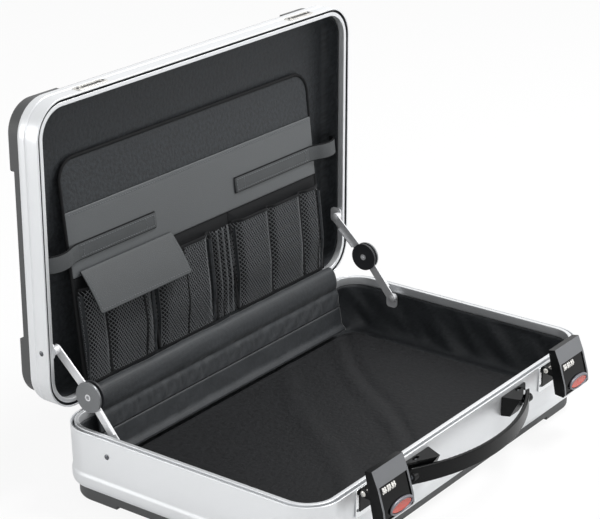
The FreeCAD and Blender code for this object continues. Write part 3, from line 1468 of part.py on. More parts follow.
def stay_motion():
    """Angles of the stay arms with the lid shut, less those with it upright."""
    py, pz = -STAY_BASE_BACK, -STAY_BASE_DOWN
    qy, qz = STAY_LID_BACK, STAY_LID_UP
    dy, dz = -STAY_DISC_FRONT, STAY_DISC_UP
    lower = math.hypot(dy - py, dz - pz)
    upper = math.hypot(dy - qy, dz - qz)
    shut_y, shut_z = -qz, qy
    gap = math.hypot(shut_y - py, shut_z - pz)
    along = (lower ** 2 - upper ** 2 + gap ** 2) / (2 * gap)
    off = math.sqrt(lower ** 2 - along ** 2)
    uy, uz = (shut_y - py) / gap, (shut_z - pz) / gap
    ends = [(py + uy * along - uz * off, pz + uz * along + uy * off),
            (py + uy * along + uz * off, pz + uz * along - uy * off)]
    ey, ez = min(ends)
    low_turn = math.atan2(ez - pz, ey - py) - math.atan2(dz - pz, dy - py)
    up_turn = math.atan2(ez - shut_z, ey - shut_y) - math.atan2(dz - qz, dy - qy)
    low_turn = math.degrees(low_turn) % 360
    up_turn = (math.degrees(up_turn) + 180) % 360 - 180 - LID_OPEN_ANGLE
    return low_turn, up_turn


def print_places():
    """Print the joint places in the export frame."""
    def place(name, x, y, z):
        point = Vector(x, y, z)
        mark = to_export(Part.Vertex(point)).Point
        print("place", name, round(mark.x, 4), round(mark.y, 4), round(mark.z, 4))
    place("lid_hinge", 0, HINGE_Y, 0)
    place("stay_base", 0, *stay_base_point())
    place("stay_lid", 0, *stay_lid_point())
    place("stay_disc", 0, *stay_disc_point())
    place("handle", 0, -HALF_D - HANDLE_AXIS_OUT, -HANDLE_AXIS_DOWN)
    place("link", 0, -HALF_D - LINK_AXIS_OUT, -LINK_AXIS_DOWN)
    out, down = link_end(LINK_OPEN_ANGLE)
    place("cover", 0, -HALF_D - out, -down)
    for name, along, depth in (("dial", DIAL_AT, DIAL_DEPTH), ("button", BUTTON_AT, 0.0)):
        point = latch_open(Part.Vertex(Vector(0, -depth, -along)), 0.0).Point
        place(name, 0, point.y, point.z)
    foot = on_panel(Part.Vertex(Vector(0, PANEL_THICKNESS / 2, 0))).Point
    place("organiser", 0, foot.y, foot.z)
    flap = on_panel(Part.Vertex(Vector(0, -flap_axis_out(), FLAP_AXIS_UP))).Point
    place("flap", 0, flap.y, flap.z)
    print("turns", [round(turn, 4) for turn in stay_motion()])
    print("lean", round(panel_lean(), 4))


def main():
    """Write every node."""
    os.makedirs("parts", exist_ok=True)
    export("base_shell", base_shell())
    export("base_frame", base_frame())
    export("base_lining", base_lining())
    export("floor_pad", floor_pad())
    export("base_hinge_leaf", base_hinge_leaf())
    export("hinge_pin", hinge_pin())
    export("hinge_cover", hinge_cover())
    export("hinge_cover_skirt", hinge_cover_skirt())
    export("lid_shell", lid_shell())
    export("lid_frame", lid_frame())
    export("lid_lining", lid_lining())
    export("lid_hinge_leaf", lid_hinge_leaf())
    export("organiser_panel", organiser_panel())
    export("organiser_band", organiser_band())
    export("organiser_bindings", organiser_bindings())
    export("pocket_left", pocket(POCKET_LEFT_FROM, POCKET_LEFT_TO))
    export("pocket_middle", pocket(POCKET_MIDDLE_FROM, POCKET_MIDDLE_TO))
    export("pocket_right", pocket(POCKET_RIGHT_FROM, POCKET_RIGHT_TO))
    export("pocket_pleats", pocket_pleats())
    export("pocket_flap", pocket_flap())
    export("handle", handle())
    export("base_fasteners", Part.makeCompound(
        wall_rivets(base_rivet_point()).Solids + plate_rivets().Solids
        + handle_screws().Solids + handle_pins().Solids))
    export("lid_rivets", Part.makeCompound(
        wall_rivets(lid_rivet_point()).Solids + keeper_rivets().Solids))
    export("latch_pins", latch_pins())
    hinge, disc, lid_point = stay_base_point(), stay_disc_point(), stay_lid_point()
    for word, side in (("left", -1), ("right", 1)):
        pieces = {
            "base_stay_bracket_": stay_bracket(hinge, base_rivet_point(), True),
            "lid_stay_bracket_": stay_bracket(lid_point, lid_rivet_point(), False),
            "stay_lower_arm_": stay_arm(hinge, disc, True),
            "stay_upper_arm_": stay_arm(lid_point, disc, False),
            "stay_outer_cap_": stay_cap(True),
            "stay_inner_cap_": stay_cap(False),
        }
        for name, shape in pieces.items():
            export(name + word, shape if side > 0 else shape.mirror(ORIGIN, AXIS_X))
        export("strap_" + word, strap(side, STRAP_LEFT_END if side < 0 else STRAP_RIGHT_END))
        export("handle_bracket_" + word, handle_bracket(side))
        centre = side * LATCH_OFFSET
        export("keeper_" + word, keeper(centre))
        export("latch_plate_" + word, latch_plate(centre))
        export("latch_bracket_" + word, latch_bracket(centre))
        export("latch_link_" + word, latch_link(centre))
        export("latch_cover_" + word, latch_open(latch_cover_shape(), centre))
        export("latch_hook_" + word, latch_open(latch_hook_shape(), centre))
        export("latch_button_" + word, latch_open(button_shape(), centre))
        for index, x in enumerate(dial_centres()):
            export("dial_" + word + "_" + str(index + 1), latch_open(dial_shape(x), centre))
    print_places()
    print("nodes", len(EXPORTS))


main()
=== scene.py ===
"""Open aluminium laptop case: the visible surfaces, finishes, light and camera.

Pieces are worked out in the case frame, in millimetres: X to the right, Y to the hinge,
Z up from the plane where the two rims meet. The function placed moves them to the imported
model's frame in metres.
"""
import json
import math

import bmesh
import bpy
import numpy as np
from bpy.props import FloatProperty, FloatVectorProperty, PointerProperty
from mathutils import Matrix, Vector

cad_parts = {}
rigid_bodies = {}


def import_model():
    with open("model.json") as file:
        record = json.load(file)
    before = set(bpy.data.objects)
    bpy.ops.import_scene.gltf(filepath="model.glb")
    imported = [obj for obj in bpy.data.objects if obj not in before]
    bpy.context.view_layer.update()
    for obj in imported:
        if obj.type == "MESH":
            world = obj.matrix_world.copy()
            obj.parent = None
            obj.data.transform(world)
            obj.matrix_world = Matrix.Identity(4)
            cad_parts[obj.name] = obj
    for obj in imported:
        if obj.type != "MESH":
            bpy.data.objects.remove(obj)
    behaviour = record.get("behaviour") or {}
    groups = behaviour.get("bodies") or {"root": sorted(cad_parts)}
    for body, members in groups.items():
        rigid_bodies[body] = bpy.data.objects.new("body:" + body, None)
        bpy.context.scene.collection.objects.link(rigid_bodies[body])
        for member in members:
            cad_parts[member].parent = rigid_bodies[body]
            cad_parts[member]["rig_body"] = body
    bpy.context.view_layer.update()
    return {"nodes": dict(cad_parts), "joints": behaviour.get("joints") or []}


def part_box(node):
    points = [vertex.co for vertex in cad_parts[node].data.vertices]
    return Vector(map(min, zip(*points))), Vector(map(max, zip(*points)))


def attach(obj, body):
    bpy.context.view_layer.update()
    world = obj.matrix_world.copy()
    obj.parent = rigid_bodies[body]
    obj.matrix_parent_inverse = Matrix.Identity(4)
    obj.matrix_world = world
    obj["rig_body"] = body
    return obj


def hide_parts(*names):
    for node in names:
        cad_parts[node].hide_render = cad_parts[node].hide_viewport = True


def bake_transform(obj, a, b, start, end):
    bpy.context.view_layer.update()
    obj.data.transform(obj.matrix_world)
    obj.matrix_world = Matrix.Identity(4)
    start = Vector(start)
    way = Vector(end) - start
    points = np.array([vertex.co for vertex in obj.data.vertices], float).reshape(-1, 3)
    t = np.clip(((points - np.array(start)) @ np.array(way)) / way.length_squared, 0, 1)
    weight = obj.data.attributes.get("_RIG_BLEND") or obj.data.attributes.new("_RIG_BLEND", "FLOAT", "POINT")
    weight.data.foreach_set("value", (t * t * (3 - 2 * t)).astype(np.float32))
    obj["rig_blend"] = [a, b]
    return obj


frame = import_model()

bl_info = {
    "name": "Laptop Case",
    "version": (1, 0, 0),
    "blender": (4, 5, 0),
    "location": "3D View > Sidebar > Laptop Case",
    "description": "Surfaces and finishes of an open aluminium laptop case",
    "category": "Add Mesh",
}

# Plan, hinge and latches of the case, millimetres
HALF_WIDTH = 230.0
HALF_DEPTH = 145.0
CORNER = 33.5
HINGE_BACK = 148.4
LINING_INSET = 8.4
LATCHES = {"left": -153.0, "right": 153.0}
COVER_TURN = math.radians(12)
COVER_PIVOT = (4.3, 26.9)
BUTTON_MIDDLE, BUTTON_HALF = (4.5, 40.4), (16.0, 5.5)
KEEPER_SLOT_HALF = 13.0
WHEEL_RADIUS = 4.63
# The hinge cloth's stitched lines as (back, up)
SEAM_LINE, HEM_LINE = (128.7, -25.8), (121.8, -45.8)

# Board of the organiser: it leans back from its foot
FOOT_BACK = 147.0
FOOT_UP = 13.6
BOARD_HALF = 186.0
BOARD_TOP = 217.0
BOARD_CORNER = 22.0
BOARD_THICK = 2.8
BOARD_LEAN = math.radians(6.4875)

# Boxes on the board as (left, right, low, high), and each net pocket's sides and folds; a fold
# is its place, its width and how deep it draws the net in
BAND_BOX = (-183.8, 183.8, 107.0, 168.0)
FLAP_BOX = (-176.0, -49.0, 0.0, 43.0)
FLAP_TURN = math.radians(28.5)
STRAP_MIDDLE = 129.75
STRAP_HALF = 7.25
NET_FOOT, NET_TOP = 6.0, 95.0
POCKETS = {
    "left": (-182.0, -86.0, [(-150.0, 5.0, 0.8)]),
    "middle": (-82.0, 3.0, [(-79.0, 4.0, 0.5), (0.0, 5.0, 0.5)]),
    "right": (39.0, 182.0, [(42.0, 5.0, 0.5), (96.0, 4.0, 0.75), (150.0, 5.0, 0.7)]),
}
GATHERS = (3.4, 38.6, [(x, 2.6, 0.8) for x in (8.0, 16.5, 25.0, 33.5)])
NET_LIFT, NET_BULGE = 0.9, 7.3
# Dark sheets behind the nets, painted shade inside the pockets: their foot and top, then their sides
SHADE_BACK_FOOT, SHADE_BACK_TOP = 4.5, 106.8
POCKET_SHADE_BACKS = ((-183.5, -84.5), (-83.5, 37.5), (38.0, 183.5))
# Dark strips over the nets' folds, painted shade where the net folds in: place, width, the pocket whose
# bulge they follow, seed
FOLD_SHADE_STRIPS = ((-150.0, 5.0, "left", 1), (-102.0, 3.0, "left", 2), (-84.0, 3.2, None, 3),
         (-40.0, 2.0, "middle", 4), (5.0, 3.6, None, 5), (14.0, 2.2, None, 6),
         (37.0, 3.4, None, 7), (96.0, 3.0, "right", 8), (150.0, 4.2, "right", 9),
         (173.0, 2.4, "right", 10))

# Camera in case millimetres, fitted to the photograph
CAMERA_PLACE = (-1333.83, -944.26, 754.23)
CAMERA_AIM = (0.749437, 0.553784, -0.362860)
CAMERA_LENS = 114.10

# Directions: to the front, out of the leaning board, and the one that tubes on it stand along
FRONT = (0, -1, 0)
BOARD_FACE = (0, -1, 0.11)
BOARD_UP = (0, -1, 0.1)

# Whether a grid's rows and columns close on themselves
RINGS, PAD, ROUND, SHEET = (False, True), (True, False), (True, True), (False, False)

PLACES = {joint["name"]: np.array(joint["pos_m"]) * 1000
          for joint in frame["joints"] if joint.get("pos_m")}
SHIFT = PLACES["lid_hinge"] - np.array((0.0, HINGE_BACK, 0.0))


# Places


def placed(points):
    """Case millimetres to frame metres: add the shift and divide by a thousand."""
    return (np.asarray(points, float) + SHIFT) / 1000


def node_box(node):
    """Lowest and highest corner of a CAD node in case millimetres."""
    return [np.array(corner) * 1000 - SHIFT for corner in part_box(node)]


def opened(points):
    """Lid drawn shut, then a quarter turn about the hinge h: y' = h + z and z' = h - y."""
    x, y, z = np.moveaxis(np.asarray(points, float), -1, 0)
    return np.stack([x, HINGE_BACK + z, HINGE_BACK - y], -1)


def leaned(across, up, out):
    """Board places (across, up the board, out of its face) turned back by its lean a.

    y = foot - out cos a + up sin a, z = foot + out sin a + up cos a."""
    across, up, out = np.broadcast_arrays(across, up, out)
    c, s = math.cos(BOARD_LEAN), math.sin(BOARD_LEAN)
    return np.stack([across, FOOT_BACK - out * c + up * s, FOOT_UP + out * s + up * c], -1)


def board_way(across, up, out):
    """Direction in the case frame of a step across, up and out of the board."""
    return leaned(across, up, out) - leaned(0.0, 0.0, 0.0)


def size(name):
    """A length of the settings in millimetres."""
    return getattr(bpy.context.scene.case_sizes, name) * 1000


# Lines and sections


def through(points, count):
    """Smooth line through points: on each span the Catmull-Rom cubic of four neighbours."""
    p = np.asarray(points, float)
    p = np.concatenate([[2 * p[0] - p[1]], p, [2 * p[-1] - p[-2]]])
    s = np.linspace(0, len(points) - 1, count)
    k = np.minimum(s.astype(int), len(points) - 2)
    t = (s - k)[:, None]
    a, b, c, d = (p[k + step] for step in range(4))
    return 0.5 * (2 * b + (c - a) * t + (2 * a - 5 * b + 4 * c - d) * t ** 2
                  + (3 * b - a - 3 * c + d) * t ** 3)


def bend(a, p, b, samples=8):
    """Curve from a to b that leans towards p: (1-t)^2 a + 2t(1-t) p + t^2 b."""
    t = np.linspace(0, 1, samples)[:, None]
    a, p, b = (np.asarray(k, float)[..., None, :] for k in (a, p, b))
    return (1 - t) ** 2 * a + 2 * t * (1 - t) * p + t ** 2 * b


def softened(corners, cuts, samples=4):
    """Closed outline with each corner p turned by a bend from a to b that leans towards it.

    a and b lie on the two sides of the corner, each at the cut's distance from it."""
    p = np.asarray(corners, float)
    back, ahead = np.roll(p, 1, 0) - p, np.roll(p, -1, 0) - p
    long_back, long_ahead = (np.linalg.norm(k, axis=1, keepdims=True) for k in (back, ahead))
    cut = np.minimum(np.broadcast_to(cuts, len(p))[:, None],
                     0.48 * np.minimum(long_back, long_ahead))
    return bend(p + back / long_back * cut, p, p + ahead / long_ahead * cut, samples).reshape(-1, 2)


def heading(path):
    """Unit direction of a line at each of its points."""
    ahead = np.gradient(path, axis=-2)
    return ahead / np.linalg.norm(ahead, axis=-1, keepdims=True)


def lengths(path):
    """Running length at each point of a line."""
    return np.concatenate([[0.0], np.cumsum(np.linalg.norm(np.diff(path, axis=0), axis=1))])


def plan_path(step, turn_steps):
    """Round the case's plan: straight points or corner centres, and outward normals.

    A point at inset n lies at centre + normal * (corner radius - n)."""
    a, b = HALF_WIDTH - CORNER, HALF_DEPTH - CORNER
    centres, turns = [], []
    corners = np.array([(-a, -b), (a, -b), (a, b), (-a, b), (-a, -b)])
    for side, (start, end) in enumerate(zip(corners, corners[1:])):
        count = max(1, round(float(np.linalg.norm(end - start)) / step))
        t = np.linspace(0, 1, count, endpoint=False)[:, None]
        centres += [start * (1 - t) + end * t, np.tile(end, (turn_steps, 1))]
        turns += [np.full(count, -90.0 + 90 * side),
                  np.linspace(-90 + 90 * side, 90 * side, turn_steps, endpoint=False)]
    angle = np.radians(np.concatenate(turns))
    return np.concatenate(centres), np.stack([np.cos(angle), np.sin(angle)], -1)


def carried_round(section, step=40.0, turn_steps=20):
    """Section of (inset, height) carried round the plan: centre + normal * (radius - inset)."""
    inset, height = np.asarray(section, float).T
    centre, normal = plan_path(step, turn_steps)
    flat = centre[:, None] + normal[:, None] * (CORNER - inset)[None, :, None]
    return np.concatenate([flat, np.broadcast_to(height, flat.shape[:2])[..., None]], -1)


def to_middle(ring, count):
    """Rings that shrink from a closed ring to its middle in equal steps."""
    middle = ring.mean(0)
    return middle + (ring[:, None] - middle) * np.linspace(1, 0, count)[None, :, None]


def rounded_outline(box, radius, inset, turn_steps, step):
    """Closed rectangle with round corners, moved in by inset; corner points are arcs.

    radius is one number or four, from the lower left corner round to the upper left."""
    x0, x1, y0, y1 = box
    radii = np.broadcast_to(np.asarray(radius, float), 4)
    corners = [(x0, y0, 1, 1, 180), (x1, y0, -1, 1, 270), (x1, y1, -1, -1, 0), (x0, y1, 1, -1, 90)]
    arcs = []
    for (x, y, sx, sy, first), r in zip(corners, radii):
        centre = np.array((x + sx * r, y + sy * r))
        angle = np.radians(np.linspace(first, first + 90, turn_steps))
        arcs.append(centre + np.stack([np.cos(angle), np.sin(angle)], -1) * max(r - inset, 0.0)
                    + np.array((sx, sy)) * max(inset - r, 0.0))
    line = []
    for k, (arc, after) in enumerate(zip(arcs, arcs[1:] + arcs[:1])):
        side = (x1 - x0, y1 - y0)[k % 2]
        t = np.linspace(0, 1, max(1, round(side / step)), endpoint=False)[1:, None]
        line += [arc, arc[-1] * (1 - t) + after[0] * t]
    return np.concatenate(line)


def cushion(box, radius, levels, count, turn_steps, step):
    """Closed pad on a rounded rectangle: rings at (inset, height) levels, then to the middle.

    Returns the grids of x, y and height over ring points and levels. Both middles end in a
    point, count rings in from the outline."""
    rings = [np.pad(rounded_outline(box, radius, inset, turn_steps, step), ((0, 0), (0, 1)),
                    constant_values=height) for inset, height in levels]
    under = to_middle(rings[0], count)[:, :0:-1]
    over = to_middle(rings[-1], count)[:, 1:]
    return np.moveaxis(np.concatenate([under, np.stack(rings, 1), over], 1), -1, 0)


def capped(rings):
    """Rings along a line with each end drawn to a point, the middle of the end ring."""
    ends = [np.broadcast_to(ring.mean(-2, keepdims=True), ring.shape)
            for ring in (rings[..., :1, :, :], rings[..., -1:, :, :])]
    return np.concatenate([ends[0], rings, ends[1]], -3)


def tube(path, radius, sides, up, closed=False):
    """Round tube: a circle of the radius carried along a path, square to its direction.

    path may be one line (n, 3) or many (m, n, 3); the radius may differ along it."""
    path = np.asarray(path, float)
    if closed:
        ahead = np.roll(path, -1, -2) - np.roll(path, 1, -2)
        ahead /= np.linalg.norm(ahead, axis=-1, keepdims=True)
    else:
        ahead = heading(path)
    side = np.cross(ahead, np.asarray(up, float))
    side /= np.maximum(np.linalg.norm(side, axis=-1, keepdims=True), 1e-9)
    rise = np.cross(side, ahead)
    angle = np.linspace(0, 2 * math.pi, sides, endpoint=False)[:, None]
    around = np.cos(angle) * side[..., None, :] + np.sin(angle) * rise[..., None, :]
    radius = np.broadcast_to(np.asarray(radius, float), path.shape[:-1])[..., None, None]
    rings = path[..., None, :] + around * radius
    return rings if closed else capped(rings)


def ribbon(path, across, thick, face, edge=0.3):
    """Flat strap: a rounded oblong section carried along a path.

    across is half its width as a vector, face the unit normal of its face at each point."""
    half = np.linalg.norm(across)
    t = thick / 2
    section = softened([(-half, -t), (half, -t), (half, t), (-half, t)], edge)[None]
    return capped(path[:, None] + section[..., :1] * (np.asarray(across) / half)
                  + section[..., 1:] * face[:, None])


def stitches(path, normal, pitch=3.4, length=2.4, radius=0.28, lift=0.12):
    """Thread stitches at equal steps along a line: thin rods whose middle stands proud."""
    path = np.asarray(path, float)
    run = lengths(path)
    count = max(1, int(run[-1] / pitch))
    centres = (np.arange(count) + 0.5) * run[-1] / count
    places = centres[:, None] + np.array([-0.5, -0.3, 0.0, 0.3, 0.5]) * length
    rods = np.stack([np.interp(places, run, path[:, k]) for k in range(3)], -1)
    rise = np.array([-0.4, 0.7, 1.0, 0.7, -0.4]) * lift
    rods = rods + rise[None, :, None] * np.asarray(normal, float)
    return tube(rods, radius * np.array([0.5, 1.0, 1.0, 1.0, 0.5]), 6, normal)


def ripples(u, v, waves, seed):
    """Uneven waves over a sheet: the mean of sines, each with its own phase and stretch.

    A wave is (length along u, length along v, weight); a length of 0 means no change that way."""
    draw = np.random.default_rng(seed)
    total = np.zeros(np.broadcast(u, v).shape)
    weights = 0.0
    for length_u, length_v, weight in waves:
        for _ in range(3):
            stretch = draw.uniform(0.75, 1.3, 2)
            phase = draw.uniform(0, 2 * math.pi)
            turn_u = 2 * math.pi * u / (length_u * stretch[0]) if length_u else 0.0
            turn_v = 2 * math.pi * v / (length_v * stretch[1]) if length_v else 0.0
            total = total + weight * np.sin(turn_u + turn_v + phase)
            weights += weight
    return total / weights


def step_up(x, low, high):
    """Smooth step from 0 at low to 1 at high: 3t^2 - 2t^3."""
    t = np.clip((np.asarray(x, float) - low) / (high - low), 0, 1)
    return t * t * (3 - 2 * t)


def hump(x, centre, width):
    """Bell of height 1: exp(-((x - centre) / width)^2)."""
    return np.exp(-((np.asarray(x, float) - centre) / width) ** 2)


# Meshes


def running(points, axis, wrap):
    """Running length in metres along one direction of a grid, its mean over the other."""
    grid = np.moveaxis(points, axis, 0)
    if wrap:
        grid = np.concatenate([grid, grid[:1]])
    steps = np.linalg.norm(np.diff(grid, axis=0), axis=-1).mean(1)
    return np.concatenate([[0.0], np.cumsum(steps)]) / 1000


def grid_part(points, wrap):
    """Quads of one grid as vertex numbers, and the cloth place of each quad's corners."""
    rows, columns = points.shape[:2]
    r, c = (k.ravel() for k in np.meshgrid(np.arange(rows - 1 + wrap[0]),
                                           np.arange(columns - 1 + wrap[1]), indexing="ij"))
    corner_r = np.stack([r, r + 1, r + 1, r], -1)
    corner_c = np.stack([c, c, c + 1, c + 1], -1)
    quads = (corner_r % rows) * columns + corner_c % columns
    u, v = running(points, 0, wrap[0]), running(points, 1, wrap[1])
    return quads, np.stack([u[corner_r], v[corner_c]], -1)


def surface(name, grids, wrap=RINGS, outwards=True):
    """Mesh of grids in case millimetres; wrap says whether their rows and columns close.

    A grid is (rows, columns, 3), or (copies, rows, columns, 3) for many like grids. Doubled
    points at seams and poles are merged, and closed shapes get their faces turned outwards."""
    places, quads, cloth, start = [], [], [], 0
    for points in grids:
        copies = points if points.ndim == 4 else points[None]
        faces, corners = grid_part(copies[0], wrap)
        count = copies.shape[1] * copies.shape[2]
        offset = start + count * np.arange(len(copies))[:, None, None]
        quads.append((faces[None] + offset).reshape(-1, 4))
        cloth.append(np.tile(corners.reshape(-1, 2), (len(copies), 1)))
        places.append(copies.reshape(-1, 3))
        start += count * len(copies)
    places, quads, cloth = (np.concatenate(k) for k in (places, quads, cloth))
    mesh = bpy.data.meshes.new(name)
    mesh.vertices.add(len(places))
    mesh.vertices.foreach_set("co", placed(places).ravel())
    mesh.loops.add(quads.size)
    mesh.loops.foreach_set("vertex_index", quads.ravel())
    mesh.polygons.add(len(quads))
    mesh.polygons.foreach_set("loop_start", np.arange(0, quads.size, 4))
    mesh.update(calc_edges=True)
    mesh.uv_layers.new(name="Cloth").data.foreach_set("uv", cloth.ravel())
    work = bmesh.new()
    work.from_mesh(mesh)
    bmesh.ops.remove_doubles(work, verts=work.verts, dist=1e-6)
    if outwards:
        bmesh.ops.recalc_face_normals(work, faces=work.faces)
    work.to_mesh(mesh)
    work.free()
    mesh.validate()
    mesh.shade_smooth()
    return mesh


def with_settings(made, **settings):
    """Set some properties of a thing and give it back."""
    for name, value in settings.items():
        setattr(made, name, value)
    return made


def shown(name, data, **settings):
    """New object of some data, linked to the scene, with its settings."""
    made = bpy.data.objects.new(name, data)
    bpy.context.scene.collection.objects.link(made)
    return with_settings(made, **settings)


def piece(name, mesh, finish, body=None, stands_for=None):
    """Object of a mesh with its finish, fastened to its body; it may stand for a CAD node."""
    mesh.materials.append(finish_of(finish))
    made = shown(name, mesh)
    if stands_for:
        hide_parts(stands_for)
    if body:
        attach(made, body)
    return made


def drawn(name, grids, finish, slot, body=None, stands_for=None, **ways):
    """Piece whose mesh is the surface of its grids."""
    return piece(name, surface(name, grids, **ways), finish, body, stands_for)


def sewn(name, lines, normal, finish, slot, body):
    """Piece of thread stitches along some lines, on cloth that faces along the normal."""
    return drawn(name, [stitches(line, normal) for line in lines], finish, slot, body)


def read(items, key, kind=float, wide=3):
    """One value of every item of a mesh as an array."""
    values = np.zeros(len(items) * wide, kind)
    items.foreach_get(key, values)
    return values.reshape(-1, wide)


def lay_flat(made, away):
    """Lay a piece's cloth map flat, as cloth is cut, looking along the axis numbered away.

    The map is the other two axes plus 1 and 0.7 times that one, so that no wall gets streaks."""
    mesh = made.data
    at = read(mesh.vertices, "co")[read(mesh.loops, "vertex_index", np.int32, 1)[:, 0]]
    flat = np.delete(at, away, 1) + at[:, [away]] * (1.0, 0.7)
    mesh.uv_layers["Cloth"].data.foreach_set("uv", flat.ravel())


def second_finish(made, finish, chosen):
    """Give a second finish to the faces that chosen picks from their middles and normals."""
    mesh = made.data
    mesh.materials.append(finish_of(finish))
    middles = read(mesh.polygons, "center") * 1000 - SHIFT
    kinds = read(mesh.polygons, "material_index", np.int32, 1)[:, 0]
    kinds[chosen(middles, read(mesh.polygons, "normal"))] = len(mesh.materials) - 1
    mesh.polygons.foreach_set("material_index", kinds)
    mesh.update()


def thicken(made, thick):
    """Give a sheet its thickness in millimetres, on the side away from its face."""
    with_settings(made.modifiers.new("Thickness", "SOLIDIFY"), thickness=thick / 1000, offset=-1.0)


def final_mesh(made):
    """Mesh of an object as it is after its modifiers."""
    bpy.context.view_layer.update()
    return bpy.data.meshes.new_from_object(
        made.evaluated_get(bpy.context.evaluated_depsgraph_get()))


def cleaned_copy(node, sharp, joined):
    """Mesh of a CAD node with its triangles joined and its smooth faces shaded smooth."""
    work = bmesh.new()
    work.from_mesh(frame["nodes"][node].data)
    bmesh.ops.remove_doubles(work, verts=work.verts, dist=1e-6)
    if joined:
        bmesh.ops.dissolve_limit(work, angle_limit=math.radians(0.6), verts=work.verts,
                                 edges=work.edges)
        bmesh.ops.dissolve_degenerate(work, dist=1e-6, edges=work.edges)
    mesh = bpy.data.meshes.new(node + "_dressed")
    work.to_mesh(mesh)
    work.free()
    while mesh.uv_layers:
        mesh.uv_layers.remove(mesh.uv_layers[0])
    for name in {"custom_normal", "sharp_face", "sharp_edge"} & set(mesh.attributes.keys()):
        mesh.attributes.remove(mesh.attributes[name])
    mesh.materials.clear()
    mesh.shade_smooth()
    mesh.set_sharp_from_angle(angle=math.radians(sharp))
    return mesh


def dressed(node, finish, slot, edge=0.0, sharp=28.0, joined=True):
    """A CAD node carried over as its own piece, its edges softened by a small bevel."""
    made = piece(node + "_dressed", cleaned_copy(node, sharp, joined), finish,
                 frame["nodes"][node]["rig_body"], node)
    if edge:
        with_settings(made.modifiers.new("Edges", "BEVEL"), width=edge / 1000, segments=2,
                      limit_method="ANGLE", angle_limit=math.radians(sharp), miter_outer="MITER_ARC")
    with_settings(made.modifiers.new("Normals", "WEIGHTED_NORMAL"), weight=90, keep_sharp=True)
    return made


# Finishes


def linear(code):
    """sRGB hex to linear colour: c / 12.92 below 0.04045, else ((c + 0.055) / 1.055)^2.4."""
    c = np.array([int(code[k:k + 2], 16) for k in (1, 3, 5)]) / 255
    shade = np.where(c <= 0.04045, c / 12.92, ((c + 0.055) / 1.055) ** 2.4)
    return tuple(float(k) for k in shade) + (1.0,)


def shades(source, other):
    """Two linear colours: of two hexes, or of a colour setting at two shares of its light."""
    if source.startswith("#"):
        return linear(source), linear(other)
    colour = getattr(bpy.context.scene.case_colours, source)
    return [tuple(c * share for c in colour[:3]) + (1.0,) for share in other]


def add(tree, kind, sockets=None, **settings):
    """Add a node: settings are its properties, sockets its inputs as values or links."""
    made = with_settings(tree.nodes.new(kind), **settings)
    for name, value in (sockets or {}).items():
        if isinstance(value, bpy.types.NodeSocket):
            tree.links.new(value, made.inputs[name])
        else:
            made.inputs[name].default_value = value
    return made


def fresh_material(name):
    """New material with its node tree and its shader."""
    made = bpy.data.materials.new(name)
    made.use_nodes = True
    return made, made.node_tree, made.node_tree.nodes["Principled BSDF"]


def noise(tree, spot, grain_size, detail):
    """Noise whose grain has the given size in millimetres."""
    return add(tree, "ShaderNodeTexNoise",
               {"Vector": spot, "Scale": 1000 / grain_size, "Detail": detail}).outputs["Fac"]


def mixed(tree, share, a, b):
    """Value between a and b at a share of the way."""
    return add(tree, "ShaderNodeMix", {0: share, 2: a, 3: b}, data_type="FLOAT").outputs[0]


def ranged(tree, value, **ends):
    """Value moved from one range to another."""
    ends = {name.replace("_", " "): end for name, end in ends.items()}
    return add(tree, "ShaderNodeMapRange", {"Value": value, **ends}).outputs[0]


def combined(tree, operation, a, b):
    """Two values put together by a maths node."""
    return add(tree, "ShaderNodeMath", {0: a, 1: b}, operation=operation).outputs[0]


def grain(width):
    """Fine even grain of the given width, as on blasted metal or moulded plastic."""
    def pattern(tree, spot):
        return noise(tree, spot, width, 2.0)
    return pattern


def weave(pitch, rough_share=0.55):
    """Plain weave over the cloth's own map: crests of warp and weft, uneven between threads."""
    def pattern(tree, spot):
        spot = add(tree, "ShaderNodeUVMap", uv_map="Cloth").outputs["UV"]
        threads = {"Vector": spot, "Scale": 2 * math.pi / (20 * pitch / 1000)}
        warp, weft = (add(tree, "ShaderNodeTexWave", threads, bands_direction=way).outputs["Fac"]
                      for way in ("X", "Y"))
        slubs = noise(tree, spot, pitch / 0.4, 4.0)
        fluff = ranged(tree, slubs, From_Min=0.34, From_Max=0.66)
        return mixed(tree, rough_share, combined(tree, "MULTIPLY", warp, weft), fluff)
    return pattern


def pebbles(width):
    """Embossed leather grain: low rounded cells with creases between them."""
    def pattern(tree, spot):
        cells = add(tree, "ShaderNodeTexVoronoi", {"Vector": spot, "Scale": 1000 / width},
                    feature="DISTANCE_TO_EDGE").outputs["Distance"]
        return ranged(tree, cells, From_Max=0.35)
    return pattern


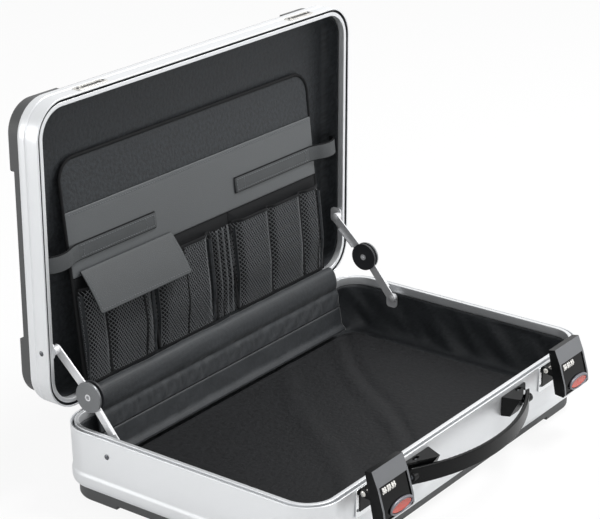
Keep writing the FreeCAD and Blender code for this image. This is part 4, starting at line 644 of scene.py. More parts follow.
# Each finish: the two ends of its colour, its pattern, the ends of its roughness, the relief's
# height, and what else it sets. Lengths are in millimetres. The colour is two hexes, or a
# colour setting and two shares of its light; cloud is the size of a slow change, share its part.
# What the picture can't show at its real size is drawn coarser: threads 0.25 mm apart at 1.1 to
# 1.8 mm, the grain of metal, plastic and lacquer, near 0.1 mm, at 0.4 to 1.5 mm.
FINISHES = {
    # Extruded aluminium, brushed and clear anodised: a pale satin metal with soft highlights
    "anodised_aluminium": ("aluminium", (0.93, 1.0), grain(0.9), (0.34, 0.42), 0.004,
                           dict(cloud=50.0, Metallic=0.55)),
    # ABS moulded in a spark-eroded tool: a dull dark shell with a fine even grain. The grain is
    # near 0.3 mm and is drawn at 0.9 mm so that it shows
    "moulded_abs": ("shell", (0.8, 1.0), grain(0.9), (0.5, 0.62), 0.06, dict(IOR=1.54)),
    # Black rubber, moulded, on the stays' inner discs, dull and dark; the same dark finish lines the rims'
    # groove as painted shade
    "black_rubber": ("#1c1d20", "#2c2e32", grain(0.8), (0.5, 0.65), 0.01, {}),
    # Woven polyester lining: a dull charcoal cloth with a soft sheen at its folds
    "lining_polyester": ("lining", (0.45, 1.6), weave(1.6, 0.8), (0.5, 0.8), 0.3,
                         dict(cloud=30.0, share=0.2, Specular_IOR_Level=0.3, Sheen_Weight=0.08,
                              Sheen_Roughness=0.4)),
    # Woven polyester with a raised nap, on the floor pad: nearly black, partly its own dark colour and
    # partly painted shade of the deep inside of the base; lighter where brushed
    "napped_polyester": ("nap", (0.4, 1.7), weave(1.8, 0.8), (0.5, 0.8), 0.3,
                         dict(cloud=45.0, share=0.35, Specular_IOR_Level=0.2, Sheen_Weight=0.04,
                              Sheen_Roughness=0.4)),
    # Brushed polyester over the hinge and on the base's walls: dull, mottled, grey in the light
    "brushed_polyester": ("hinge", (0.5, 1.5), weave(1.6), (0.5, 0.7), 0.2,
                          dict(cloud=20.0, share=0.4, Specular_IOR_Level=0.4, Sheen_Weight=0.35,
                               Sheen_Roughness=0.3)),
    # Ribbed polyester tape, woven narrow and folded round raw edges: dull and nearly black
    "ribbon_binding": ("binding", (0.7, 1.0), weave(1.1), (0.65, 0.8), 0.1,
                       dict(Specular_IOR_Level=0.2)),
    # Knitted nylon net: thin round strands that catch the light at their crossings
    "knotted_net": ("net", (0.65, 1.0), grain(0.8), (0.4, 0.6), 0.04, dict(Sheen_Weight=0.2)),
    # PVC leather cloth, rolled with an embossed grain: an even grey with a low satin gloss. The
    # pebbles are near 0.8 mm and are drawn at 1.6 mm so that they show
    "embossed_vinyl": ("vinyl", (0.86, 1.04), pebbles(1.6), (0.42, 0.6), 0.06,
                       dict(cloud=50.0, share=0.6, IOR=1.5)),
    # The band's PVC leather cloth, thinner and softer on the flap and the straps and creased by use; drawn
    # darker than the band as painted shade
    "supple_vinyl": ("vinyl", (0.5, 0.82), pebbles(1.6), (0.5, 0.68), 0.08,
                     dict(cloud=30.0, share=0.7, Specular_IOR_Level=0.35)),
    # Twisted polyester thread, a shade lighter than the cloth it holds
    "sewing_thread": ("thread", (0.8, 1.0), grain(0.6), (0.55, 0.7), 0.03, {}),
    # Pressed steel with bright chrome over a tumbled face: a bright metal with soft streaks
    "chromed_steel": ("#d4d6d8", "#f2f3f4", grain(1.5), (0.2, 0.32), 0.003,
                      dict(Metallic=1.0)),
    # Bright zinc plate on the pressed stays: a pale metal with broad soft highlights
    "plated_stay": ("#d0d2d4", "#ececee", grain(1.2), (0.34, 0.46), 0.004,
                    dict(Metallic=0.25)),
    # Satin dark lacquer, sprayed on the outer friction discs, drawn a mid grey: painted light for the lamp
    # the left disc faces
    "disc_lacquer": ("#66686a", "#828486", grain(0.8), (0.3, 0.4), 0.005,
                     dict(Metallic=0.4)),
    # Steel rivet heads, pressed and polished: small mirrors with one bright point, their colour darkened far
    # below steel's as a painted dark reflection
    "polished_rivet": ("#4a4c50", "#6c6e72", grain(1.0), (0.12, 0.2), 0.002,
                       dict(Metallic=1.0)),
    # Nickel-plated steel: warmer and a little duller than chrome
    "nickelled_steel": ("#b4b2ad", "#d8d6d1", grain(1.0), (0.2, 0.32), 0.004,
                        dict(Metallic=1.0)),
    # Glass-filled nylon, moulded: black with a low satin gloss and a fine grain
    "satin_nylon": ("plastic", (0.6, 1.0), grain(0.7), (0.24, 0.34), 0.02,
                    dict(Specular_IOR_Level=0.14)),
    # ABS moulded in a polished tool, in the latch's recess: deep black with clear reflections
    "gloss_abs": ("#060708", "#0c0d0e", grain(1.0), (0.08, 0.16), 0.003,
                  dict(Specular_IOR_Level=0.12)),
    # Satin metallic lacquer, sprayed on the latch's upper face: mid grey with a fine sparkle
    "silver_lacquer": ("latch_face", (0.9, 1.0), grain(0.6), (0.32, 0.42), 0.006,
                       dict(Metallic=0.35)),
    # Satin lacquer, sprayed on the rim round the button: a grey with a breath of lilac
    "surround_lacquer": ("surround", (0.85, 1.0), grain(0.6), (0.28, 0.38), 0.006,
                         dict(Metallic=0.3)),
    # Tinted polycarbonate push button, moulded clear: orange-red, glossy, lit through its edge
    "tinted_polycarbonate": ("button", (0.75, 1.0), grain(3.0), (0.12, 0.22), 0.004,
                             dict(IOR=1.58, Subsurface_Weight=0.35, Subsurface_Scale=0.002,
                                  Coat_Weight=0.5, Coat_Roughness=0.08)),
    # Polished plate on the turned number wheels: nearly white, with fine turning marks
    "plated_dial": ("#d4d2cc", "#f6f5f2", grain(0.5), (0.25, 0.4), 0.006,
                    dict(Metallic=0.2)),
    # Dark grey in the keepers' slots, with a dull metal sheen: painted shade inside the slots
    "dark_keeper": ("#2a2c2e", "#3c3e41", grain(0.8), (0.4, 0.5), 0.008,
                    dict(Metallic=0.6)),
    # Ink rolled into the engraved figures of the dials: a flat near-black
    "printing_ink": ("#0c0c0d", "#18181a", grain(0.4), (0.5, 0.6), 0.004, {}),
}


def finish_of(name):
    """The finish of that name, made from the table the first time it is asked for.

    Its colour, roughness and relief follow its pattern, mixed with a soft slow cloud."""
    made = bpy.data.materials.get(name)
    if made:
        return made
    source, other, pattern, roughness, relief, extras = FINISHES[name]
    dark, light = shades(source, other)
    extras = {"cloud": 40.0, "share": 0.5, **extras}
    made, tree, shader = fresh_material(name)
    spot = add(tree, "ShaderNodeTexCoord").outputs["Object"]
    height = pattern(tree, spot)
    share = mixed(tree, extras.pop("share"), height, noise(tree, spot, extras.pop("cloud"), 3.0))
    colour = add(tree, "ShaderNodeMix", {0: share, 6: dark, 7: light}, data_type="RGBA").outputs[2]
    rough = ranged(tree, share, To_Min=roughness[0], To_Max=roughness[1])
    bump = add(tree, "ShaderNodeBump",
               {"Height": height, "Distance": relief / 1000, "Strength": 1.0}).outputs["Normal"]
    for socket, value in (("Base Color", colour), ("Roughness", rough), ("Normal", bump)):
        tree.links.new(value, shader.inputs[socket])
    for socket, value in extras.items():
        shader.inputs[socket.replace("_", " ")].default_value = value
    return made


def shade_property(label, code, words):
    """Colour property with its default as an sRGB hex."""
    return FloatVectorProperty(name=label, description=words, subtype="COLOR", size=4,
                               min=0.0, max=1.0, default=linear(code))


def length_property(label, millimetres, words):
    """Length property whose default is given in millimetres."""
    return FloatProperty(name=label, description=words, subtype="DISTANCE", unit="LENGTH",
                         default=millimetres / 1000, min=0.0)


class CaseColours(bpy.types.PropertyGroup):
    """Colours of the case's finishes."""
    aluminium: shade_property("Aluminium", "#e5e7e9", "Anodised rim of the base and the lid")
    shell: shade_property("Shell", "#4a4b4c", "Moulded shells of the base and the lid")
    lining: shade_property("Lining", "#2c2f32", "Lining of the lid and organiser board")
    # Darker than the lining: partly painted shade inside the base
    nap: shade_property("Floor pad", "#131416", "Napped cloth of the floor pad")
    hinge: shade_property("Hinge cloth", "#2f3235", "Cloth over the hinge and on the base's walls")
    binding: shade_property("Binding", "#141517", "Tape and piping")
    net: shade_property("Net", "#6e7174", "Strands of the net pockets")
    vinyl: shade_property("Vinyl", "#55585a", "Band, flap and straps")
    thread: shade_property("Thread", "#6f7275", "Visible stitches")
    plastic: shade_property("Plastic", "#0e0f10", "Handle, brackets and latch housings")
    latch_face: shade_property("Latch face", "#6f7174", "Upper face of the latches")
    surround: shade_property("Button surround", "#75747b", "Rims round the release buttons")
    button: shade_property("Button", "#cf4632", "Release buttons")


class CaseSizes(bpy.types.PropertyGroup):
    """Sizes of the details that the solids don't fix."""
    cloth: length_property("Cloth", 0.8, "Thickness of the lining cloth")
    fold: length_property("Fold height", 6.5, "Height of the soft folds in the linings")
    net_wide: length_property("Net width", 3.4, "Width of one opening of the net")
    net_tall: length_property("Net height", 4.4, "Height of one opening of the net")
    strand: length_property("Strand", 0.36, "Radius of the net's strands")
    piping: length_property("Piping", 1.75, "Radius of the piping round the board")


class Step:
    """What the operators share: they make their pieces and report that they are done.

    A row of copies is some CAD nodes, their finish and slot, and what dressed takes besides.
    A star in a node's name stands for left and for right."""
    copies = ()

    def execute(self, context):
        for nodes, *how in self.copies:
            for node in nodes.split():
                for word in LATCHES if "*" in node else [""]:
                    dressed(node.replace("*", word), *how)
        self.make()
        return {"FINISHED"}

    def make(self):
        """Make the pieces that aren't copies."""


# Aluminium rims and shells

# Each rim's section as (inset, height): outer face, the two bends of its curled foot, inner
# face, and the cuts that soften the corners of its two faces
RIMS = {
    "base": ([(0, -0.1), (1.0, -41.0), (0, -44.6)], [(0, -49.5), (0, -57), (5, -57)],
             [(7, -57), (2, -57), (2, -49)],
             [(2, -9.7), (7.8, -7.7), (7.8, 0.7), (3.9, 0.7), (3.9, -4.5), (1.6, -4.5),
              (1.6, -0.1)], [0.5, 0.9, 0.9], [0.5, 0.6, 0.55, 0.5, 0.2, 0.2, 0.4]),
    "lid": ([(0, 0.1), (0, 13.2), (0.7, 14.2), (0.7, 14.8), (0, 15.8)],
            [(0, 19.5), (0, 25.7), (4.2, 25.7)], [(6.2, 25.7), (2, 25.7), (2, 19.5)],
            [(2, 9.7), (7.8, 7.7), (7.8, 1.0), (3.9, 1.0), (3.9, 4.5), (1.6, 4.5), (1.6, 0.1)],
            [0.5, 0.3, 0.2, 0.2, 0.3], [0.5, 0.6, 0.5, 0.5, 0.2, 0.2, 0.4]),
}


def rim_grid(outer, foot, back, inner, outer_cuts, inner_cuts):
    """Section of a rim with its corners softened, carried round the plan."""
    turned = [*bend(*foot), *bend(*back)]
    cuts = [*outer_cuts, *[0.0] * len(turned), *inner_cuts]
    return carried_round(softened([*outer, *turned, *inner], np.array(cuts) + 0.02))


def in_groove(middles):
    """Faces of the groove in a shut or base rim: 1.5 to 4 mm inside the plan's edge.

    In a corner the inset is its radius less the distance from its centre."""
    reach = np.abs(middles[:, :2]) - (HALF_WIDTH - CORNER, HALF_DEPTH - CORNER)
    corner = np.linalg.norm(np.maximum(reach, 0.0), axis=1)
    inset = CORNER - np.where((reach > 0).all(1), corner, reach.max(1))
    height = np.abs(middles[:, 2])
    return (inset > 1.5) & (inset < 4.0) & (height > 2.4) & (height < 6.0)


def in_lid_groove(middles):
    """The same faces in the open lid, turned back shut first."""
    x, y, z = middles.T
    return in_groove(np.stack([x, HINGE_BACK - z, y - HINGE_BACK], -1))


class CASE_OT_rims(Step, bpy.types.Operator):
    """Extruded aluminium rims of the base and the lid"""
    bl_idname = "laptop_case.rims"
    bl_label = "Rims"

    def make(self):
        grids = {"base": rim_grid(*RIMS["base"]), "lid": opened(rim_grid(*RIMS["lid"]))}
        for body, chosen in (("base", in_groove), ("lid", in_lid_groove)):
            rim = drawn(body + "_rim", [grids[body]], "anodised_aluminium", "anodised_frame", body,
                        body + "_frame", wrap=ROUND)
            rim.data.set_sharp_from_angle(angle=math.radians(40))
            # The groove's faces are drawn dark: painted shade in the rims' groove
            second_finish(rim, "black_rubber", lambda middles, normals: chosen(middles))


class CASE_OT_shells(Step, bpy.types.Operator):
    """Moulded shells below the base and behind the lid"""
    bl_idname = "laptop_case.shells"
    bl_label = "Shells"
    copies = [("base_shell lid_shell", "moulded_abs", "moulded_shell", 0.0, 12.0, False)]


# Linings


def lining(foot, wall, cove, seed, fold, count):
    """Lining wall and floor: a section carried round the plan, then rings to the middle.

    The section is a straight wall from foot over a cove. It is pushed in and out along its
    normal by ripples that fade at its two edges."""
    rows = np.linspace(foot, wall[0], wall[1])
    section = np.concatenate([np.stack([np.full(wall[1], LINING_INSET), rows], -1), bend(*cove, 7)])
    grid = carried_round(section, 5.0, 14)
    normal = plan_path(5.0, 14)[1]
    v = np.abs(section[None, :, 1])
    wave = ripples(lengths(grid[:, 0])[:, None], v,
                   [(130, 70, 1.0), (64, 90, 0.7), (38, 40, 0.8), (17, 30, 0.3)], seed)
    fade = step_up(v, v[0, 0], v[0, 0] + 7) * (1 - step_up(v, v[0, -1] - 6, v[0, -1]))
    grid[..., :2] -= normal[:, None] * (fold * wave * fade)[..., None]
    return np.concatenate([grid, to_middle(grid[:, -1], count)[:, 1:]], 1)


class CASE_OT_linings(Step, bpy.types.Operator):
    """Woven linings of the base and the lid"""
    bl_idname = "laptop_case.linings"
    bl_label = "Linings"

    def make(self):
        floor = node_box("floor_pad")[0][2] - 0.3
        fold, inset = size("fold"), LINING_INSET
        base = lining(-8.2, (-42, 12), [(inset, -44), (inset, floor), (17, floor)], 5, fold, 8)
        lid = lining(8.2, (13, 6), [(inset, 14), (inset, 26.2), (15.5, 26.2)], 9, fold * 0.3, 12)
        for body, grid, cloth, away in (("base", base, "brushed_polyester", 2),
                                        ("lid", opened(lid)[:, ::-1], "lining_polyester", 1)):
            made = drawn(body + "_lining_cloth", [grid], cloth, "lining_cloth", body,
                         body + "_lining", wrap=PAD, outwards=False)
            lay_flat(made, away)
            thicken(made, size("cloth"))


class CASE_OT_floor_pad(Step, bpy.types.Operator):
    """Padded board on the floor of the base"""
    bl_idname = "laptop_case.floor_pad"
    bl_label = "Floor pad"

    def make(self):
        """A cushion whose top is raised by a low swell, ripples and three slanting creases."""
        low, high = node_box("floor_pad")
        levels = [(2.0, 0.0), (0.6, 0.5), (0.0, 2.2), (0.3, 4.0), (1.5, 5.8), (3.6, 6.8),
                  (6.5, 7.0), (9.0, 6.7), (13.0, 6.9), (20.0, 7.4)]
        x, y, z = cushion((low[0], high[0], low[1], high[1]), 16.0, levels, 34, 10, 10.0)
        swell = 0.6 * (1 - (x / high[0]) ** 2) * (1 - ((y + 4) / 124) ** 2)
        wave = 1.3 * ripples(x, y, [(190, 160, 1), (70, 130, 1), (38, 60, 0.5)], 21)
        slant = x - 60 - 0.9 * y + 9 * np.sin(y / 34)
        crease = 2.2 * hump(slant, 0, 9) - 2.0 * hump(slant, 17, 6) + 1.4 * hump(slant, -90, 14)
        z = np.minimum(z + (z > 6.3) * (swell + wave + crease), high[2] - low[2] + 0.6)
        made = drawn("floor_pad_cloth", [np.stack([x, y, z + low[2]], -1)], "napped_polyester",
                     "lining_cloth", "base", "floor_pad", wrap=PAD)
        lay_flat(made, 2)


# Cloth over the hinge


def cover_grid(half, columns):
    """Cloth from the organiser's foot over a roll to the seam: a curve carried along X.

    It is pushed along its normal by long swells on the roll and short slanting puckers above
    the seam, which pull the cloth into the stitch line."""
    line = through([(146.6, 13.2), (144.6, 15.3), (141.5, 16.0), (137.6, 14.2), (134.8, 9.0),
                    (133.2, 1.5), (132.5, -6.0), (131.3, -13.0), (130.0, -19.0), (129.2, -23.6)], 46)
    ahead = heading(line)
    x = np.linspace(-half, half, columns)[:, None]
    z = line[None, :, 1]
    run = np.linspace(0, 50, len(line))[None]
    roll = 0.9 * ripples(x, run, [(110, 160, 1), (47, 70, 0.6)], 3) * step_up(z, -4, 6)
    puckers = 1.7 * ripples(x, run, [(13, 34, 1), (24, 22, 1.0), (8, 50, 0.4)], 4)
    dent = -1.5 * hump(z, -5.5, 3.0) * (1 + 0.5 * ripples(x, run, [(60, 0, 1), (25, 0, 0.6)], 7))
    push = ((roll + puckers * hump(z, -14.5, 7.5) + dent) * (1 - hump(z, -23.6, 2.0))
            * (1 - 0.8 * hump(run, 0, 3)))
    return np.stack([np.broadcast_to(x, push.shape), line[:, 0] + ahead[:, 1] * push,
                     line[:, 1] - ahead[:, 0] * push], -1)


def skirt_grid(half, columns):
    """Lower strip from the seam to the floor: a flat cloth with slow waves across it."""
    t = np.linspace(0, 1, 14)[None]
    x = np.linspace(-half, half, columns)[:, None]
    wave = 1.2 * ripples(x, t * 25, [(70, 0, 1), (31, 40, 0.8), (14, 30, 0.3)], 8)
    hem = 0.5 * step_up(t, 0.86, 0.9) + 3.5 * step_up(t, 0.7, 1.0)
    y = 129.0 - 4.5 * t - wave * np.sin(math.pi * t) - hem
    return np.stack(np.broadcast_arrays(x, y, -24.4 - 24.4 * t), -1)


class CASE_OT_hinge_cloth(Step, bpy.types.Operator):
    """Cloth roll over the hinge, its skirt and their stitches"""
    bl_idname = "laptop_case.hinge_cloth"
    bl_label = "Hinge cloth"

    def make(self):
        half = node_box("hinge_cover")[1][0]
        grids = cover_grid(half, 260), skirt_grid(half, 200)
        cover, skirt = (
            drawn(name, [grid], "brushed_polyester", "lining_cloth", body, node, wrap=SHEET,
                  outwards=False)
            for name, grid, body, node in (
                ("hinge_cover_cloth", grids[0], None, "hinge_cover"),
                ("hinge_skirt_cloth", grids[1], "base", "hinge_cover_skirt")))
        for cloth in (cover, skirt):
            thicken(cloth, size("cloth") * 1.5)
        cover.data = final_mesh(cover)
        cover.modifiers.clear()
        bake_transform(cover, "base", "lid", tuple(placed((0, 129, -24))), tuple(placed((0, 147, 13.3))))
        across = [[(-half + 3, *line), (half - 3, *line)] for line in (SEAM_LINE, HEM_LINE)]
        drops = [[(x, 128.4, -27.5), (x, 125.4, -42.0), (x, 122.4, -45.2)] for x in (-60.0, 64.0)]
        sewn("hinge_stitches", across + drops, FRONT, "ribbon_binding", "lining_cloth", "base")


class CASE_OT_hinge(Step, bpy.types.Operator):
    """Leaves and pin of the piano hinge"""
    bl_idname = "laptop_case.hinge"
    bl_label = "Hinge"
    copies = [("base_hinge_leaf lid_hinge_leaf hinge_pin", "nickelled_steel", "nickel", 0.15)]


# Organiser


def piping_path(inset):
    """Middle line of the piping, up one side, over the top and down the other."""
    out, top, radius = BOARD_HALF - inset, BOARD_TOP - inset, BOARD_CORNER - inset
    angle = np.radians(np.linspace(0, 90, 14))
    corner = np.stack([out - radius + radius * np.cos(angle), top - radius + radius * np.sin(angle)], -1)
    up = np.stack([np.full(40, out), np.linspace(3.0, top - radius - 2, 40)], -1)
    over = np.linspace(out - radius - 2, -out + radius + 2, 60)
    across = np.stack([over, np.full(60, top)], -1)
    half = np.concatenate([up, corner])
    return np.concatenate([half, across, (half * (-1, 1))[::-1]])


class CASE_OT_board(Step, bpy.types.Operator):
    """Cloth-covered board of the organiser with its piping and vinyl band"""
    bl_idname = "laptop_case.board"
    bl_label = "Organiser board"

    def make(self):
        """A cushion with faint waves on its face, a tube round its edge, and the band."""
        gap = 1.9
        box = (-BOARD_HALF + gap, BOARD_HALF - gap, 0.0, BOARD_TOP - gap)
        round_corner = BOARD_CORNER - gap
        levels = [(1.0, -BOARD_THICK), (0.1, -BOARD_THICK + 0.6), (0.0, -0.9), (0.4, -0.25),
                  (1.4, 0.0)]
        x, up, out = cushion(box, (2.0, 2.0, round_corner, round_corner), levels, 16, 12, 9.0)
        wave = 0.12 * ripples(x, up, [(120, 0, 1), (0, 90, 1)], 31) - 0.12
        board = drawn("organiser_board", [leaned(x, up, out + (out > -0.3) * wave)],
                      "lining_polyester", "lining_cloth", "organiser", "organiser_panel", wrap=PAD)
        lay_flat(board, 1)
        x, up = piping_path(1.75).T
        wobble = 0.05 * ripples(x, up, [(14, 14, 1)], 6)
        rings = tube(leaned(x, up, -0.45 + wobble), size("piping"), 12, BOARD_UP)
        drawn("board_piping", [rings], "ribbon_binding", "binding", "organiser")
        self.band()

    def band(self):
        """Vinyl across the board: a cushion with faint waves and a groove under its stitches."""
        left, right, low, high = BAND_BOX
        levels = [(0.3, 0.3), (0.0, 0.6), (0.0, 1.1), (0.3, 1.4), (0.9, 1.5)]
        x, up, out = cushion(BAND_BOX, 1.0, levels, 14, 4, 6.0)
        out = out - (out > 1.3) * (0.25 * hump(up, high - 3.4, 0.9) - 0.14
                                   * ripples(x, up, [(160, 0, 1), (70, 80, 0.5)], 12))
        band = drawn("vinyl_band", [leaned(x, up, np.minimum(out, 1.62))], "embossed_vinyl",
                     "leatherette", "organiser", "organiser_band", wrap=PAD)
        out_way = board_way(0.0, 0.0, 1.0)
        second_finish(band, "ribbon_binding", lambda middles, normals: normals @ out_way < 0.5)
        line = leaned(np.array((left + 3, right - 3)), high - 3.2, 1.5)
        seam = sewn("band_stitches", [line], BOARD_FACE, "sewing_thread", "leatherette", "organiser")


def pocket_out(x, up, low, high, folds):
    """How far a pocket's net stands out of the board: a bulge that opens upwards.

    It is its lift and its bulge times the rise from the foot and from each side, less a bell
    at each fold."""
    rise = 0.25 + 0.75 * step_up(up, 5, 45)
    sides = 0.3 + 0.7 * step_up(x, low, low + 12) * (1 - step_up(x, high - 12, high))
    dip = sum(share * hump(x, place, width) for place, width, share in folds)
    return NET_LIFT + NET_BULGE * rise * sides * (1 - np.minimum(dip, 0.85))


def net_strands(low, high, folds, wide, tall):
    """Two sets of slanting strands over a pocket: each is a line x = x0 +- t, up = u0 + r t.

    Strands cross at every opening, and each follows the pocket's bulge."""
    slope = tall / wide
    reach = (NET_TOP - NET_FOOT) / slope
    batches = []
    for way, starts in ((1, np.arange(low - reach, high, wide)),
                        (-1, np.arange(low, high + reach, wide))):
        before, after = (low - starts, high - starts) if way > 0 else (starts - high, starts - low)
        first, last = np.clip(before, 0, reach), np.minimum(after, reach)
        keep = last - first > 2 * wide
        first, last, begin = (k[keep][:, None] for k in (first, last, starts))
        run = first + (last - first) * np.linspace(0, 1, 60)
        x, up = begin + way * run, NET_FOOT + slope * run
        cross = 0.22 * way * np.cos(math.pi * (x / wide + way * up / tall))
        path = leaned(x, up, pocket_out(x, up, low, high, folds) + cross)
        batches.append(tube(path, size("strand"), 4, BOARD_UP))
    return batches


def pocket_hem(low, high, folds, foot, top, lift):
    """Closed strip of tape over a pocket between two heights, lifted off its net."""
    x = np.linspace(low, high, int((high - low) / 2.5))[:, None]
    up, out = softened([(foot, 0), (top, 0), (top, 0.8), (foot, 0.8)], 0.25, 3).T
    return capped(leaned(x, up, pocket_out(x, up, low, high, folds) + lift + out))


def fold_seam(x, wide, pocket, seed):
    """Dark strip where a pocket's net folds in, painted shade of the fold: a strip with uneven edges.

    Its half width is wide/2 times 1 plus slow ripples, and it follows the net's bulge."""
    up = np.linspace(6.0, 95.5, 40)
    half = wide / 2 * (1 + 0.5 * ripples(up, 0, [(60, 0, 1), (24, 0, 0.7)], seed))
    middle = x + 0.8 * ripples(up, 0, [(90, 0, 1)], seed + 40)
    depth = (pocket_out(middle, up, *POCKETS[pocket]) + 0.45 if pocket
             else 3.2 + 0.6 * np.sin(up / 14))
    angle = np.linspace(0, 2 * math.pi, 10, endpoint=False)
    return capped(leaned(middle[:, None] + half[:, None] * np.cos(angle), up[:, None],
                         depth[:, None] + 0.35 * np.sin(angle)))


def folded_side(edge, way):
    """Side wall of a pocket, folded like a bellows between the board and the net."""
    swing = 1.2 * (1 - np.cos(np.linspace(0, 4 * math.pi, 13)))
    near = np.stack([edge + way * (0.6 + swing), np.linspace(0.5, 7.2, 13)], -1)
    x, out = np.concatenate([near, near[::-1] + (way * 0.6, 0.0)]).T
    up = np.linspace(6.4, 90.0, 12)[:, None]
    return leaned(x, up, 0.5 + (out - 0.5) * (0.25 + 0.75 * step_up(up, 5, 45)))


class CASE_OT_pockets(Step, bpy.types.Operator):
    """Net pockets with their hems, folded sides and gathers"""
    bl_idname = "laptop_case.pockets"
    bl_label = "Net pockets"

    def make(self):
        wide, tall = size("net_wide"), size("net_tall")
        hems, sides = [], []
        for name, pocket in POCKETS.items():
            net = drawn("net_" + name, net_strands(*pocket, wide, tall), "knotted_net", "net",
                        "organiser", "pocket_" + name)
            low, high = pocket[:2]
            hems += [pocket_hem(*pocket, 94.2, 97.0, 0.2), pocket_hem(*pocket, 4.6, 6.6, 0.0)]
            sides += [folded_side(low, 1), folded_side(high, -1)]
        drawn("pocket_hems", hems, "ribbon_binding", "binding", "organiser", "organiser_bindings")
        drawn("pocket_sides", sides, "lining_polyester", "lining_cloth", "organiser",
              "pocket_pleats")
        # Dark sheets behind the nets: painted shade inside the pockets
        levels = [(0.2, 0.05), (0.0, 0.2), (0.3, 0.4)]
        backs = [leaned(*cushion((*sides, SHADE_BACK_FOOT, SHADE_BACK_TOP), 1.0, levels, 6, 4, 9.0))
                 for sides in POCKET_SHADE_BACKS]
        cloth = drawn("pocket_backs", backs, "ribbon_binding", "binding", "organiser", wrap=PAD)
        # Dark strips along the nets' folds: painted shade of the folds
        drawn("pocket_folds", [fold_seam(*place) for place in FOLD_SHADE_STRIPS], "ribbon_binding", "binding",
              "organiser")
        net = drawn("net_gathers", net_strands(*GATHERS, wide * 0.62, tall), "knotted_net", "net",
                    "organiser")


def hung(x, down, out):
    """Flap's own places turned out by its angle from the band, with a low bow over its length."""
    out = out + 1.3 * np.sin(math.pi * np.clip(down / 43, 0, 1)) - 0.35 * ((x + 112.5) / 60) ** 2
    c, s = math.cos(FLAP_TURN), math.sin(FLAP_TURN)
    return leaned(x, 112 - down * c + out * s, 3.1 + down * s + out * c)


class CASE_OT_flap(Step, bpy.types.Operator):
    """Vinyl flap over the left pocket with its stitched border"""
    bl_idname = "laptop_case.flap"
    bl_label = "Pocket flap"

    def make(self):
        """A cushion in the flap's own places with a groove under its stitches, then hung."""
        levels = [(0.4, -0.9), (0.0, -0.5), (0.0, 0.3), (0.35, 0.75), (1.0, 0.9)]
        x, down, out = cushion(FLAP_BOX, (1.0, 1.0, 2.5, 2.5), levels, 9, 5, 6.0)
        out = out - (out > 0.7) * 0.22 * hump(43 - down, 3.0, 0.8)
        flap = drawn("pocket_flap_vinyl", [hung(x, down, out)], "supple_vinyl", "leatherette",
                     "flap", "pocket_flap", wrap=PAD)
        out_way = board_way(0.0, math.sin(FLAP_TURN), math.cos(FLAP_TURN))
        second_finish(flap, "ribbon_binding", lambda middles, normals: normals @ out_way < 0.2)
        border = rounded_outline(FLAP_BOX, 2.5, 3.0, 5, 3.0)
        border = border[border[:, 1] > 4.0]
        gaps = np.linalg.norm(np.diff(border, axis=0, append=border[:1]), axis=1)
        x, down = np.roll(border, -int(np.argmax(gaps)) - 1, 0).T
        turn = FLAP_TURN + BOARD_LEAN
        seam = sewn("flap_stitches", [hung(x, down, 0.85)], (0.0, -math.cos(turn), math.sin(turn)),
                    "sewing_thread", "leatherette", "flap")


class CASE_OT_straps(Step, bpy.types.Operator):
    """Vinyl straps from the organiser to the side walls of the lid"""
    bl_idname = "laptop_case.straps"
    bl_label = "Straps"

    def make(self):
        self.strap("left", -1, 68.0)
        self.strap("right", 1, 52.0)

    def strap(self, word, side, end):
        """A ribbon along a line through points that lies on the band, bulges and meets the wall."""
        line = through([(end, 2.5), (end + 25, 2.55), (end + 60, 2.5), (168, 2.5), (176, 2.7),
                        (184, 4.6), (193, 8.0), (203, 9.3), (212, 7.6), (218.5, 3.4), (220.8, -0.5),
                        (220.9, -3.8)], 90)
        ahead = heading(line)
        x, out = line.T
        sag = -0.8 * step_up(x, 176, 200) * (1 - step_up(x, 205, 221))
        path = leaned(side * x, STRAP_MIDDLE + sag, out)
        face = board_way(-side * ahead[:, 1], 0.0, ahead[:, 0])
        half = board_way(0.0, STRAP_HALF, 0.0)
        made = drawn("strap_vinyl_" + word, [ribbon(path, half, 1.4, face)], "supple_vinyl",
                     "leatherette", stands_for="strap_" + word)
        second_finish(made, "ribbon_binding",
                      lambda middles, normals: np.abs(normals @ half) > STRAP_HALF / 2)
        # A dark cloth strip a little wider than the strap, just under it: painted shadow along the strap's
        # edges
        under = drawn("strap_backing_" + word, [ribbon(path - 0.55 * face, half * 1.13, 0.5, face)],
                      "ribbon_binding", "binding")
        start, wall = (tuple(placed(leaned(side * x, STRAP_MIDDLE, 3.0))) for x in (178.0, 220.0))
        for part in (made, under):
            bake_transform(part, "organiser", "lid", start, wall)
        edges = (STRAP_MIDDLE - 5.2, STRAP_MIDDLE + 5.2)
        lines = [leaned(side * np.array((end + 2.5, 172.0)), up, 3.25) for up in edges]
        lines += [leaned(side * x, np.array(edges), 3.25) for x in (end + 2.5, end + 14.0, 168.0)]
        seams = sewn("strap_stitches_" + word, lines, BOARD_FACE, "sewing_thread", "leatherette",
                     "organiser")


# Metal and plastic fittings


class CASE_OT_stays(Step, bpy.types.Operator):
    """Folding stays with their friction discs and brackets"""
    bl_idname = "laptop_case.stays"
    bl_label = "Stays"
    copies = [("stay_lower_arm_* stay_upper_arm_* base_stay_bracket_* lid_stay_bracket_*",
               "plated_stay", "bright_steel", 0.2),
              ("stay_outer_cap_*", "disc_lacquer", "black_plastic", 0.15),
              ("stay_inner_cap_*", "black_rubber", "black_plastic", 0.15)]


class CASE_OT_handle(Step, bpy.types.Operator):
    """Arched handle and its two brackets"""
    bl_idname = "laptop_case.handle"
    bl_label = "Handle"
    copies = [("handle", "satin_nylon", "black_plastic", 0.3, 35.0),
              ("handle_bracket_*", "satin_nylon", "black_plastic", 0.4)]


